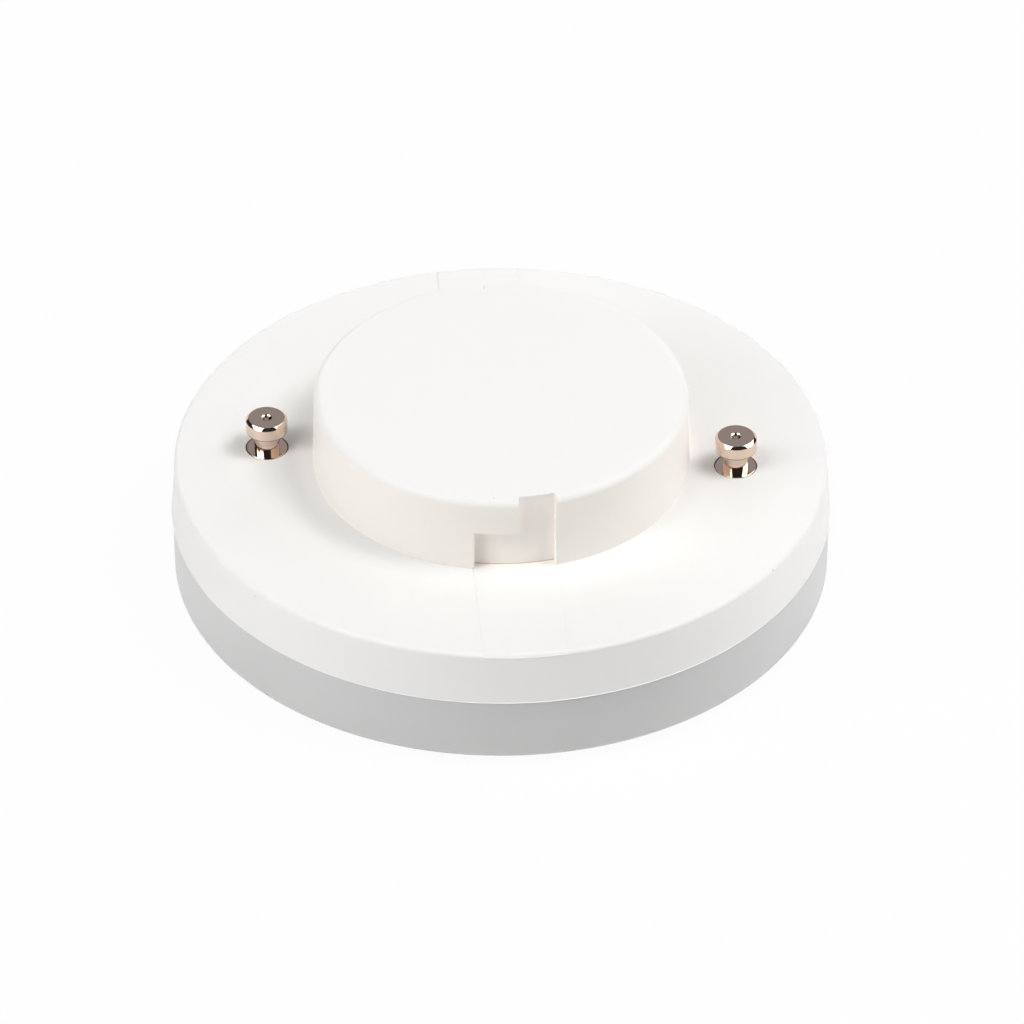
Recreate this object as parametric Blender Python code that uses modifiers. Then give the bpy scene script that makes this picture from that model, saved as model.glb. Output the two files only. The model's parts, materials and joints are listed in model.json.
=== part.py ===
"""LED disc lamp with a two-pin twist cap, standing on its diffuser with the pins up.

Lengths are in metres. The origin is the centre of the diffuser's flat underside, +Z is the lamp's axis and
the pins lie on X. The keyways of the boss face -Y and +Y. Inside, everything hangs from the housing's face:
the pins with their solder tags, the insulator, the heat spreader and the LED board. The driver fills the
boss.
"""
import math

import bmesh
import bpy
from mathutils import Matrix

# Housing: one moulding of a disc, a skirt and a central boss
SKIRT_RADIUS = 0.0369
SKIRT_DRAFT = 0.00039
SKIRT_HEIGHT = 0.0064
RIM_FILLET = 0.0005
BOSS_RADIUS = 0.02105
BOSS_DRAFT = 0.00022
BOSS_HEIGHT = 0.00909
BOSS_FILLET = 0.0008
WALL = 0.0016
RIB_THICKNESS = 0.001
RIB_HEIGHT = 0.0008
BOARD_STOP_THICKNESS = 0.0012

# Keyways: an entry open at the top, and a slot beside it under a ledge, both pulled along one direction
KEYWAY_TURN = math.radians(8.15)
KEYWAY_DEPTH = 0.0011
KEYWAY_HALF_WIDTH = 0.00456
ENTRY_WIDTH = 0.00414
SLOT_HEIGHT = 0.0048
KEYWAY_BACKING = 0.0012

# Diffuser: an opal dish that laps into the skirt and is held by four snap hooks
DIFFUSER_DEPTH = 0.0092
DIFFUSER_STEP = 0.00011
DIFFUSER_DRAFT = 0.00013
DIFFUSER_WALL = 0.0016
DIFFUSER_EDGE_REACH = 0.007
DIFFUSER_EDGE_DROP = 0.0021
LAP_HEIGHT = 0.0022
LAP_SKIRT_WALL = 0.00074
HOOK_COUNT = 4
HOOK_WIDTH = 0.006
HOOK_THICKNESS = 0.0012
HOOK_ROOT = 0.0015
HOOK_NOSE = 0.0007
HOOK_NOSE_HEIGHT = 0.001
HOOK_PLAY = 0.0002
POCKET_CLEARANCE = 0.0004

# Contact pins: turned, plated, riveted through the face over a solder tag
PIN_PITCH = 0.053
PIN_HEIGHT = 0.00415
PIN_HEAD_RADIUS = 0.00236
PIN_HEAD_HEIGHT = 0.00173
PIN_HEAD_CHAMFER = 0.00031
PIN_DIMPLE_RADIUS = 0.00057
PIN_DIMPLE_DEPTH = 0.0004
PIN_NECK_RADIUS = 0.00143
PIN_FLANGE_RADIUS = 0.00235
PIN_FLANGE_THICKNESS = 0.0008
PIN_SHANK_RADIUS = 0.0016
PIN_TAIL_RADIUS = 0.0011
PIN_RIVET_RADIUS = 0.0019
PIN_RIVET_THICKNESS = 0.0004
PIN_PAD_MARGIN = 0.0011
PIN_PAD_HEIGHT = 0.001
TAG_THICKNESS = 0.0004
TAG_RADIUS = 0.0026
TAG_TONGUE_LENGTH = 0.0018
TAG_TONGUE_WIDTH = 0.0016

# Insulator, heat spreader, LED board and the screws that hold them
TRAY_THICKNESS = 0.0005
TRAY_INSET = 0.0006
TRAY_RING_HEIGHT = 0.002
TRAY_RING_WALL = 0.0012
TRAY_RING_INSET = 0.0012
SPREADER_THICKNESS = 0.001
SPREADER_RIM_HEIGHT = 0.0012
SPREADER_RIM_WALL = 0.001
LED_BOARD_THICKNESS = 0.001
LED_BOARD_INSET = 0.0006
POST_RADIUS = 0.00275
POST_INSET = 0.005
POST_FLOOR = 0.0006
SCREW_COUNT = 3
SCREW_RADIUS = 0.0011
SCREW_HEAD_RADIUS = 0.0021
SCREW_HEAD_HEIGHT = 0.0013
SCREW_POINT = 0.0008
SCREW_DRIVE_WIDTH = 0.0006
SCREW_DRIVE_LENGTH = 0.0024
SCREW_DRIVE_DEPTH = 0.0007

# LED chips in two rings
OUTER_LEDS = 12
INNER_LEDS = 6
OUTER_LED_INSET = 0.0062
INNER_LED_RADIUS = 0.0145
LED_LENGTH = 0.0035
LED_WIDTH = 0.0028
LED_HEIGHT = 0.0007
LED_FRAME = 0.0004
LED_RECESS = 0.0002

# Driver board and what stands on it, each place counted from the board's centre
BOARD_THICKNESS = 0.001
INPUT_CAPACITOR_RADIUS = 0.00315
INPUT_CAPACITOR_LENGTH = 0.011
INPUT_CAPACITOR_PLACE = (-0.0025, 0.009)
INPUT_CAPACITOR_LEAD_PITCH = 0.0025
OUTPUT_CAPACITOR_RADIUS = 0.0025
OUTPUT_CAPACITOR_HEIGHT = 0.0065
OUTPUT_CAPACITOR_PLACE = (0.0095, 0.0055)
CHOKE_RADIUS = 0.00375
CHOKE_HEIGHT = 0.0065
CHOKE_FLANGE = 0.001
CHOKE_CORE_RADIUS = 0.0019
CHOKE_WINDING_RADIUS = 0.0034
CHOKE_PLACE = (0.008, -0.006)
FILM_CAPACITOR_SIZE = (0.0075, 0.0035, 0.0065)
FILM_CAPACITOR_PLACE = (-0.009, 0.0005)
FUSE_RADIUS = 0.0011
FUSE_LENGTH = 0.006
FUSE_LEAD_REACH = 0.0018
FUSE_PLACE = (-0.0085, -0.0052)
VARISTOR_RADIUS = 0.00325
VARISTOR_THICKNESS = 0.0028
VARISTOR_PLACE = (-0.0055, -0.0105)
BRIDGE_SIZE = (0.0047, 0.0038, 0.0015)
BRIDGE_PLACE = (-0.001, -0.002)
BRIDGE_LEG_PITCH = 0.00254
BRIDGE_LEG_WIDTH = 0.0007
BRIDGE_LEG_REACH = 0.0008
CHIP_SIZE = (0.0049, 0.0039, 0.0015)
CHIP_PLACE = (0.0043, 0.001)
CHIP_LEG_PITCH = 0.00127
CHIP_LEG_WIDTH = 0.0004
CHIP_LEG_REACH = 0.0009
LEG_HEIGHT = 0.0006
DIODE_SIZE = (0.0043, 0.0026, 0.0021)
DIODE_PLACE = (0.002, -0.012)
DIODE_TAB_WIDTH = 0.0015
DIODE_TAB_REACH = 0.0005
CHIP_RESISTOR_SIZE = (0.0032, 0.0016, 0.0006)
CHIP_RESISTOR_PLACES = (
    (0.0002, -0.0076, 0),
    (-0.0006, 0.0034, 0),
    (0.0129, -0.0003, 90),
    (0.0098, 0.0003, 0),
)
COMPONENT_LEAD_RADIUS = 0.0003
CASE_BEVEL = 0.0003

# Insulated leads
LEAD_RADIUS = 0.0005
INPUT_LEAD_END = 0.0125
OUTPUT_LEAD_OFFSET = 0.001
OUTPUT_LEAD_REACH = 0.006
OUTPUT_LEAD_BEND = 0.0011
LEAD_HOLE_CLEARANCE = 0.0013

# Clearances: faceted round fits, and the thin ring that shows round each pin's flange
FIT = 0.0003
FLANGE_FIT = 0.0001
TAIL_CLEARANCE = 0.0005
OVERLAP = 0.0004

# Facets of turned pieces
LARGE_FACETS = 64
PIN_FACETS = 24
SMALL_FACETS = 16
FILLET_STEPS = 2
PAD_STEPS = 6
EDGE_STEPS = 6
WIRE_STEPS = 3
SHORT_WIRE_STEPS = 2
BEND_STEPS = 3
SHARP_ANGLE = math.radians(35)
MERGE_DISTANCE = 0.000001

# Heights
Z_JOINT = DIFFUSER_DEPTH
Z_FACE = Z_JOINT + SKIRT_HEIGHT
Z_BOSS = Z_FACE + BOSS_HEIGHT
Z_CEILING = Z_BOSS - WALL
Z_FACE_INSIDE = Z_FACE - WALL
Z_TAG_TOP = Z_FACE_INSIDE - PIN_PAD_HEIGHT
Z_TAG = Z_TAG_TOP - TAG_THICKNESS
Z_RIVET = Z_TAG - PIN_RIVET_THICKNESS
Z_TRAY_TOP = Z_RIVET - TAIL_CLEARANCE
Z_SPREADER_TOP = Z_TRAY_TOP - TRAY_THICKNESS
Z_SPREADER = Z_SPREADER_TOP - SPREADER_THICKNESS
Z_LED_BOARD = Z_SPREADER - LED_BOARD_THICKNESS
Z_BOARD = Z_TRAY_TOP + TRAY_RING_HEIGHT
Z_BOARD_TOP = Z_BOARD + BOARD_THICKNESS
Z_HOOK_TOP = Z_FACE_INSIDE - FIT

# Radii
SKIRT_FOOT = SKIRT_RADIUS + SKIRT_DRAFT
SKIRT_BORE = SKIRT_RADIUS - WALL
REBATE_RADIUS = SKIRT_FOOT - LAP_SKIRT_WALL
DIFFUSER_RADIUS = SKIRT_FOOT - DIFFUSER_STEP
DIFFUSER_BORE = DIFFUSER_RADIUS - DIFFUSER_WALL
HOOK_OUTSIDE = SKIRT_BORE - FIT
HOOK_INSIDE = HOOK_OUTSIDE - HOOK_THICKNESS
SPREADER_RADIUS = HOOK_INSIDE - FIT
LED_BOARD_RADIUS = HOOK_INSIDE - LED_BOARD_INSET
TRAY_RADIUS = SPREADER_RADIUS - SPREADER_RIM_WALL - TRAY_INSET
SCREW_CIRCLE = LED_BOARD_RADIUS - POST_INSET
BOSS_BORE = BOSS_RADIUS - WALL
KEYWAY_FLOOR = BOSS_RADIUS - KEYWAY_DEPTH
PAD_PLANE = math.sqrt(KEYWAY_FLOOR ** 2 - KEYWAY_HALF_WIDTH ** 2) - KEYWAY_BACKING
BOARD_RADIUS = PAD_PLANE - FIT
RING_RADIUS = BOARD_RADIUS - TRAY_RING_INSET
LEAD_HOLE_RADIUS = OUTPUT_LEAD_OFFSET + LEAD_RADIUS + LEAD_HOLE_CLEARANCE
PIN_OFFSET = PIN_PITCH / 2

PARTS = "led_disc_lamp"
TOOLS = "cutters"


def clear_scene():
    for item in list(bpy.data.objects):
        bpy.data.objects.remove(item, do_unlink=True)
    for name in (PARTS, TOOLS):
        bpy.context.scene.collection.children.link(bpy.data.collections.new(name))


def add(name, mesh, tool=False):
    item = bpy.data.objects.new(name, mesh)
    bpy.data.collections[TOOLS if tool else PARTS].objects.link(item)
    if tool:
        item.hide_render = True
        item.display_type = "WIRE"
    return item


def from_bmesh(name, shape, tool=False):
    bmesh.ops.recalc_face_normals(shape, faces=shape.faces)
    mesh = bpy.data.meshes.new(name)
    shape.to_mesh(mesh)
    shape.free()
    return add(name, mesh, tool)


def evaluated_mesh(item):
    graph = bpy.context.evaluated_depsgraph_get()
    return bpy.data.meshes.new_from_object(item.evaluated_get(graph))


def settle(item, material):
    """Bake the modifiers into the mesh, shade it smooth between sharp edges and give it its material."""
    mesh = evaluated_mesh(item)
    mesh.name = item.name
    item.modifiers.clear()
    item.data = mesh
    mesh.shade_smooth()
    mesh.set_sharp_from_angle(angle=SHARP_ANGLE)
    mesh.materials.clear()
    mesh.materials.append(material)


def cut(target, tool):
    modifier = target.modifiers.new(tool.name, "BOOLEAN")
    modifier.operation = "DIFFERENCE"
    modifier.object = tool


def join(target, tool):
    modifier = target.modifiers.new(tool.name, "BOOLEAN")
    modifier.operation = "UNION"
    modifier.object = tool


def arc(centre, reach, start, end, steps):
    """Points on an ellipse's arc, in degrees, both ends included."""
    points = []
    for step in range(steps + 1):
        angle = math.radians(start + (end - start) * step / steps)
        points.append((centre[0] + reach[0] * math.cos(angle), centre[1] + reach[1] * math.sin(angle)))
    return points


def lathe(name, profile, facets, tool=False, ring=False):
    """Turn a profile of (radius, height) about Z; a ring's profile closes on itself off the axis."""
    shape = bmesh.new()
    corners = [shape.verts.new((radius, 0, height)) for radius, height in profile]
    for first, second in zip(corners, corners[1:]):
        shape.edges.new((first, second))
    if ring:
        shape.edges.new((corners[-1], corners[0]))
    mesh = bpy.data.meshes.new(name)
    shape.to_mesh(mesh)
    shape.free()
    item = add(name, mesh, tool)
    screw = item.modifiers.new("turn", "SCREW")
    screw.axis = "Z"
    screw.steps = facets
    screw.render_steps = facets
    screw.use_merge_vertices = True
    screw.merge_threshold = MERGE_DISTANCE
    return item


def rod(name, radius, low, high, facets, tool=False):
    """A cylinder on Z, turned half a facet so that no corner meets an edge of what it cuts or joins."""
    shape = bmesh.new()
    bmesh.ops.create_cone(
        shape, cap_ends=True, segments=facets, radius1=radius, radius2=radius, depth=high - low
    )
    turn = Matrix.Translation((0, 0, (low + high) / 2)) @ Matrix.Rotation(math.pi / facets, 4, "Z")
    bmesh.ops.transform(shape, matrix=turn, verts=shape.verts)
    return from_bmesh(name, shape, tool)


def block(name, low, high, tool=False, bevel=0.0):
    shape = bmesh.new()
    bmesh.ops.create_cube(shape, size=1.0)
    size = [top - bottom for bottom, top in zip(low, high)]
    middle = [(top + bottom) / 2 for bottom, top in zip(low, high)]
    bmesh.ops.scale(shape, vec=size, verts=shape.verts)
    bmesh.ops.translate(shape, vec=middle, verts=shape.verts)
    item = from_bmesh(name, shape, tool)
    if bevel:
        edges = item.modifiers.new("edges", "BEVEL")
        edges.width = bevel
        edges.segments = 1
    return item


def plate(name, outlines, low, high, tool=False):
    """A flat sheet: the first outline is its edge and the others are its holes."""
    curve = bpy.data.curves.new(name, "CURVE")
    curve.dimensions = "2D"
    curve.fill_mode = "BOTH"
    curve.extrude = (high - low) / 2
    for outline in outlines:
        spline = curve.splines.new("POLY")
        spline.points.add(len(outline) - 1)
        spline.use_cyclic_u = True
        for point, (x, y) in zip(spline.points, outline):
            point.co = (x, y, 0, 1)
    item = curve_to_mesh(name, curve, tool)
    item.matrix_world = Matrix.Translation((0, 0, (low + high) / 2))
    return item


def wire(name, route, radius, steps=WIRE_STEPS, tool=False):
    """A round wire on a smooth curve through the route's points."""
    points = smooth(route, steps)
    curve = bpy.data.curves.new(name, "CURVE")
    curve.dimensions = "3D"
    curve.bevel_depth = radius
    curve.bevel_resolution = 2
    curve.use_fill_caps = True
    spline = curve.splines.new("POLY")
    spline.points.add(len(points) - 1)
    for point, place in zip(spline.points, points):
        point.co = (*place, 1)
    return curve_to_mesh(name, curve, tool)


def curve_to_mesh(name, curve, tool):
    drawn = add(name + "_curve", curve, tool)
    mesh = evaluated_mesh(drawn)
    bpy.data.objects.remove(drawn, do_unlink=True)
    shape = bmesh.new()
    shape.from_mesh(mesh)
    bmesh.ops.remove_doubles(shape, verts=shape.verts, dist=MERGE_DISTANCE)
    return from_bmesh(name, shape, tool)


def smooth(route, steps):
    """A Catmull-Rom curve through the route, with each end's direction held."""
    ends = [route[0]] + list(route) + [route[-1]]
    points = []
    for a, b, c, d in zip(ends, ends[1:], ends[2:], ends[3:]):
        for step in range(steps):
            t = step / steps
            place = []
            for p, q, r, s in zip(a, b, c, d):
                linear = (r - p) * t
                square = (2 * p - 5 * q + 4 * r - s) * t ** 2
                cube = (3 * q - p - 3 * r + s) * t ** 3
                place.append(q + (linear + square + cube) / 2)
            points.append(tuple(place))
    points.append(tuple(route[-1]))
    return points


def circle(radius, facets, centre=(0, 0)):
    turn = math.tau / facets
    return [
        (centre[0] + radius * math.cos(step * turn), centre[1] + radius * math.sin(step * turn))
        for step in range(facets)
    ]


def around(item, angle, radius=0.0):
    """Move a piece out along X by the radius and turn it about the lamp's axis."""
    out = Matrix.Translation((radius, 0, 0))
    item.matrix_world = Matrix.Rotation(angle, 4, "Z") @ out @ item.matrix_world
    return item


def screw_angles():
    return [math.radians(90) + math.tau * step / SCREW_COUNT for step in range(SCREW_COUNT)]


def hook_angles():
    return [math.radians(45) + math.tau * step / HOOK_COUNT for step in range(HOOK_COUNT)]


def make_housing():
    profile = [(0, Z_FACE)]
    centre = (SKIRT_RADIUS - RIM_FILLET, Z_FACE - RIM_FILLET)
    profile += arc(centre, (RIM_FILLET, RIM_FILLET), 90, 0, FILLET_STEPS)
    profile += [
        (SKIRT_FOOT, Z_JOINT),
        (REBATE_RADIUS, Z_JOINT),
        (REBATE_RADIUS, Z_JOINT + LAP_HEIGHT + FIT),
        (SKIRT_BORE, Z_JOINT + LAP_HEIGHT + FIT),
        (SKIRT_BORE, Z_FACE_INSIDE),
        (0, Z_FACE_INSIDE),
    ]
    housing = lathe("housing", profile, LARGE_FACETS)
    join(housing, make_boss())
    cut(housing, rod("boss_bore", BOSS_BORE, Z_FACE_INSIDE - WALL, Z_CEILING, LARGE_FACETS, tool=True))
    add_keyway_pads(housing)
    add_board_stops(housing)
    add_ribs_and_posts(housing)
    add_pin_pads(housing)
    cut_pin_seats(housing)
    cut_screw_pilots(housing)
    cut_hook_pockets(housing)
    return housing


def make_boss():
    """The boss as a solid that reaches into the housing's face, with both keyways cut."""
    root = Z_FACE - WALL / 2
    foot = BOSS_RADIUS + BOSS_DRAFT
    profile = [(0, Z_BOSS)]
    centre = (BOSS_RADIUS - BOSS_FILLET, Z_BOSS - BOSS_FILLET)
    profile += arc(centre, (BOSS_FILLET, BOSS_FILLET), 90, 0, FILLET_STEPS)
    profile += [(foot, Z_FACE), (foot, root), (0, root)]
    boss = lathe("boss", profile, LARGE_FACETS, tool=True)
    core = keyway_core()
    ledge = Z_FACE + SLOT_HEIGHT
    entry = KEYWAY_HALF_WIDTH - ENTRY_WIDTH
    outline = [
        (-KEYWAY_HALF_WIDTH, Z_FACE - WALL),
        (KEYWAY_HALF_WIDTH, Z_FACE - WALL),
        (KEYWAY_HALF_WIDTH, Z_BOSS + WALL),
        (entry, Z_BOSS + WALL),
        (entry, ledge),
        (-KEYWAY_HALF_WIDTH, ledge),
    ]
    for side in (0, math.pi):
        keyway = plate("keyway", [outline], KEYWAY_FLOOR - WALL, foot + WALL, tool=True)
        stand(keyway)
        cut(keyway, core)
        cut(boss, around(keyway, KEYWAY_TURN + side))
    return boss


def keyway_core():
    """What stays of the boss behind its keyways: their floors lean as the boss's wall does."""
    over = Z_BOSS + 2 * WALL
    under = Z_FACE - 2 * WALL
    lean = BOSS_DRAFT / BOSS_HEIGHT
    profile = [
        (0, over),
        (KEYWAY_FLOOR - lean * (over - Z_BOSS), over),
        (KEYWAY_FLOOR + lean * (Z_BOSS - under), under),
        (0, under),
    ]
    return lathe("keyway_core", profile, LARGE_FACETS, tool=True)


def stand(item):
    """Turn a sheet drawn on the floor upright: its Y becomes height, and its thickness runs to -Y."""
    item.matrix_world = Matrix.Rotation(math.pi / 2, 4, "X") @ item.matrix_world
    return item


def add_keyway_pads(housing):
    """The wall behind each keyway is carried inwards, so that it keeps its strength."""
    half = KEYWAY_HALF_WIDTH + WALL
    outside = BOSS_BORE + OVERLAP / 2
    turn = math.degrees(math.asin(half / outside))
    outline = arc((0, 0), (outside, outside), -90 - turn, -90 + turn, PAD_STEPS)
    outline += [(half, -PAD_PLANE), (-half, -PAD_PLANE)]
    for side in (0, math.pi):
        pad = plate("keyway_pad", [outline], Z_FACE_INSIDE - RIB_HEIGHT, Z_CEILING + OVERLAP, tool=True)
        join(housing, around(pad, KEYWAY_TURN + side))


def add_board_stops(housing):
    half = BOARD_STOP_THICKNESS / 2
    for angle in hook_angles():
        low = (BOARD_RADIUS - BOARD_STOP_THICKNESS, -half, Z_BOARD_TOP)
        high = (BOSS_BORE + OVERLAP, half, Z_CEILING + OVERLAP)
        join(housing, around(block("board_stop", low, high, tool=True), angle))


def add_ribs_and_posts(housing):
    half = RIB_THICKNESS / 2
    for step in range(SCREW_COUNT * 2):
        angle = math.radians(90) + math.pi * step / SCREW_COUNT
        low = (BOSS_RADIUS, -half, Z_FACE_INSIDE - RIB_HEIGHT)
        high = (SKIRT_BORE + OVERLAP, half, Z_FACE_INSIDE + OVERLAP)
        join(housing, around(block("rib", low, high, tool=True), angle))
    for angle in screw_angles():
        post = rod("post", POST_RADIUS, Z_SPREADER_TOP, Z_FACE_INSIDE + OVERLAP, SMALL_FACETS, tool=True)
        join(housing, around(post, angle, SCREW_CIRCLE))


def add_pin_pads(housing):
    radius = PIN_FLANGE_RADIUS + PIN_PAD_MARGIN
    for side in (0, math.pi):
        pad = rod("pin_pad", radius, Z_TAG_TOP, Z_FACE_INSIDE + OVERLAP, SMALL_FACETS, tool=True)
        join(housing, around(pad, side, PIN_OFFSET))


def cut_pin_seats(housing):
    for side in (0, math.pi):
        radius = PIN_FLANGE_RADIUS + FLANGE_FIT
        seat = rod("pin_seat", radius, Z_FACE - PIN_FLANGE_THICKNESS, Z_FACE + WALL, PIN_FACETS, tool=True)
        bore = rod("pin_bore", PIN_SHANK_RADIUS + FIT, Z_TAG, Z_FACE, PIN_FACETS, tool=True)
        for tool in (seat, bore):
            cut(housing, around(tool, side, PIN_OFFSET))


def cut_screw_pilots(housing):
    for angle in screw_angles():
        pilot = rod("pilot", SCREW_RADIUS + FIT, Z_SPREADER, Z_FACE - POST_FLOOR, SMALL_FACETS, tool=True)
        cut(housing, around(pilot, angle, SCREW_CIRCLE))


def cut_hook_pockets(housing):
    half = HOOK_WIDTH / 2 + FIT
    for angle in hook_angles():
        low = (HOOK_INSIDE, -half, Z_HOOK_TOP - HOOK_NOSE_HEIGHT - HOOK_PLAY)
        high = (HOOK_OUTSIDE + HOOK_NOSE + POCKET_CLEARANCE, half, Z_HOOK_TOP + HOOK_PLAY)
        cut(housing, around(block("hook_pocket", low, high, tool=True), angle))


def make_diffuser():
    edge = (DIFFUSER_EDGE_REACH, DIFFUSER_EDGE_DROP)
    inner_edge = (DIFFUSER_EDGE_REACH - 2 * DIFFUSER_WALL, DIFFUSER_EDGE_DROP)
    foot = DIFFUSER_RADIUS - DIFFUSER_DRAFT
    inner_foot = foot - DIFFUSER_WALL
    inner_centre = (inner_foot - inner_edge[0], DIFFUSER_WALL + inner_edge[1])
    profile = [(0, DIFFUSER_WALL)]
    profile += arc(inner_centre, inner_edge, -90, 0, EDGE_STEPS)
    profile += [
        (DIFFUSER_BORE, Z_JOINT),
        (DIFFUSER_BORE, Z_JOINT + LAP_HEIGHT),
        (REBATE_RADIUS - FIT, Z_JOINT + LAP_HEIGHT),
        (REBATE_RADIUS - FIT, Z_JOINT),
        (DIFFUSER_RADIUS, Z_JOINT),
    ]
    profile += arc((foot - edge[0], edge[1]), edge, 0, -90, EDGE_STEPS)
    profile += [(0, 0)]
    diffuser = lathe("diffuser", profile, LARGE_FACETS)
    for angle in hook_angles():
        join(diffuser, around(make_hook(), angle))
    return diffuser


def make_hook():
    """An arm rooted on the dish's wall, whose chamfered nose catches in the skirt's pocket."""
    root = Z_JOINT - HOOK_ROOT
    shoulder = Z_JOINT + LAP_HEIGHT - OVERLAP
    catch = Z_HOOK_TOP - HOOK_NOSE_HEIGHT
    outline = [
        (HOOK_INSIDE, root),
        (DIFFUSER_BORE + OVERLAP, root),
        (DIFFUSER_BORE + OVERLAP, shoulder),
        (HOOK_OUTSIDE, shoulder),
        (HOOK_OUTSIDE, catch),
        (HOOK_OUTSIDE + HOOK_NOSE, catch),
        (HOOK_OUTSIDE + HOOK_NOSE, catch + HOOK_NOSE_HEIGHT / 3),
        (HOOK_OUTSIDE, Z_HOOK_TOP),
        (HOOK_INSIDE, Z_HOOK_TOP),
    ]
    return stand(plate("hook", [outline], -HOOK_WIDTH / 2, HOOK_WIDTH / 2, tool=True))


def make_pin(name, side):
    top = Z_FACE + PIN_HEIGHT
    head_foot = top - PIN_HEAD_HEIGHT
    flange_foot = Z_FACE - PIN_FLANGE_THICKNESS
    profile = [
        (0, top - PIN_DIMPLE_DEPTH),
        (PIN_DIMPLE_RADIUS, top),
        (PIN_HEAD_RADIUS - PIN_HEAD_CHAMFER, top),
        (PIN_HEAD_RADIUS, top - PIN_HEAD_CHAMFER),
        (PIN_HEAD_RADIUS, head_foot),
        (PIN_NECK_RADIUS, head_foot),
        (PIN_NECK_RADIUS, Z_FACE),
        (PIN_FLANGE_RADIUS, Z_FACE),
        (PIN_FLANGE_RADIUS, flange_foot),
        (PIN_SHANK_RADIUS, flange_foot),
        (PIN_SHANK_RADIUS, Z_TAG_TOP),
        (PIN_TAIL_RADIUS, Z_TAG_TOP),
        (PIN_TAIL_RADIUS, Z_TAG),
        (PIN_RIVET_RADIUS, Z_TAG),
        (PIN_RIVET_RADIUS, Z_RIVET),
        (0, Z_RIVET),
    ]
    return around(lathe(name, profile, PIN_FACETS), side, PIN_OFFSET)


def make_tag(name, side):
    """A washer with a tongue that points to the lamp's axis."""
    half = TAG_TONGUE_WIDTH / 2
    opening = math.degrees(math.asin(half / TAG_RADIUS))
    outline = arc((0, 0), (TAG_RADIUS, TAG_RADIUS), -180 + opening, 180 - opening, SMALL_FACETS)
    tip = -TAG_RADIUS - TAG_TONGUE_LENGTH
    outline += [(tip, half), (tip, -half)]
    tag = plate(name, [outline, circle(PIN_TAIL_RADIUS + FIT, SMALL_FACETS)], Z_TAG, Z_TAG_TOP)
    return around(tag, side, PIN_OFFSET)


def cut_screw_holes(target, radius, low, high):
    for angle in screw_angles():
        hole = rod("hole", radius, low - OVERLAP, high + OVERLAP, SMALL_FACETS, tool=True)
        cut(target, around(hole, angle, SCREW_CIRCLE))


def make_tray():
    """An insulating disc whose ring carries the driver board."""
    profile = [
        (LEAD_HOLE_RADIUS, Z_TRAY_TOP),
        (RING_RADIUS - TRAY_RING_WALL, Z_TRAY_TOP),
        (RING_RADIUS - TRAY_RING_WALL, Z_BOARD),
        (RING_RADIUS, Z_BOARD),
        (RING_RADIUS, Z_TRAY_TOP),
        (TRAY_RADIUS, Z_TRAY_TOP),
        (TRAY_RADIUS, Z_SPREADER_TOP),
        (LEAD_HOLE_RADIUS, Z_SPREADER_TOP),
    ]
    tray = lathe("insulator_tray", profile, LARGE_FACETS, ring=True)
    cut_screw_holes(tray, POST_RADIUS + FIT, Z_SPREADER_TOP, Z_TRAY_TOP)
    half = LEAD_RADIUS + LEAD_HOLE_CLEARANCE / 2
    for side in (0, math.pi):
        low = (RING_RADIUS - 2 * TRAY_RING_WALL, -half, Z_TRAY_TOP + OVERLAP / 2)
        high = (RING_RADIUS + TRAY_RING_WALL, half, Z_BOARD + OVERLAP)
        cut(tray, around(block("lead_notch", low, high, tool=True), side))
    return tray


def make_spreader():
    """A pressed aluminium plate with a rim turned up."""
    rim = Z_SPREADER_TOP + SPREADER_RIM_HEIGHT
    profile = [
        (LEAD_HOLE_RADIUS, Z_SPREADER_TOP),
        (SPREADER_RADIUS - SPREADER_RIM_WALL, Z_SPREADER_TOP),
        (SPREADER_RADIUS - SPREADER_RIM_WALL, rim),
        (SPREADER_RADIUS, rim),
    ]
    bend = (SPREADER_THICKNESS / 2, SPREADER_THICKNESS / 2)
    centre = (SPREADER_RADIUS - bend[0], Z_SPREADER + bend[1])
    profile += arc(centre, bend, 0, -90, FILLET_STEPS)
    profile += [(LEAD_HOLE_RADIUS, Z_SPREADER)]
    spreader = lathe("heat_spreader", profile, LARGE_FACETS, ring=True)
    cut_screw_holes(spreader, SCREW_RADIUS + FIT, Z_SPREADER, Z_SPREADER_TOP)
    return spreader


def make_led_board():
    outlines = [circle(LED_BOARD_RADIUS, LARGE_FACETS), circle(LEAD_HOLE_RADIUS, SMALL_FACETS)]
    for angle in screw_angles():
        centre = (SCREW_CIRCLE * math.cos(angle), SCREW_CIRCLE * math.sin(angle))
        outlines.append(circle(SCREW_RADIUS + FIT, SMALL_FACETS, centre))
    return plate("led_board", outlines, Z_LED_BOARD, Z_SPREADER)


def make_driver_board():
    return plate("driver_board", [circle(BOARD_RADIUS, LARGE_FACETS)], Z_BOARD, Z_BOARD_TOP)


def make_led(name, angle, radius):
    """A chip whose window is recessed in its lower face."""
    shape = bmesh.new()
    bmesh.ops.create_cube(shape, size=1.0)
    bmesh.ops.scale(shape, vec=(LED_WIDTH, LED_LENGTH, LED_HEIGHT), verts=shape.verts)
    shape.faces.ensure_lookup_table()
    window = min(shape.faces, key=lambda face: face.calc_center_median().z)
    bmesh.ops.inset_region(shape, faces=[window], thickness=LED_FRAME)
    bmesh.ops.translate(shape, vec=(0, 0, LED_RECESS), verts=window.verts)
    bmesh.ops.translate(shape, vec=(0, 0, Z_LED_BOARD - LED_HEIGHT / 2), verts=shape.verts)
    return around(from_bmesh(name, shape), angle, radius)


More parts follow.
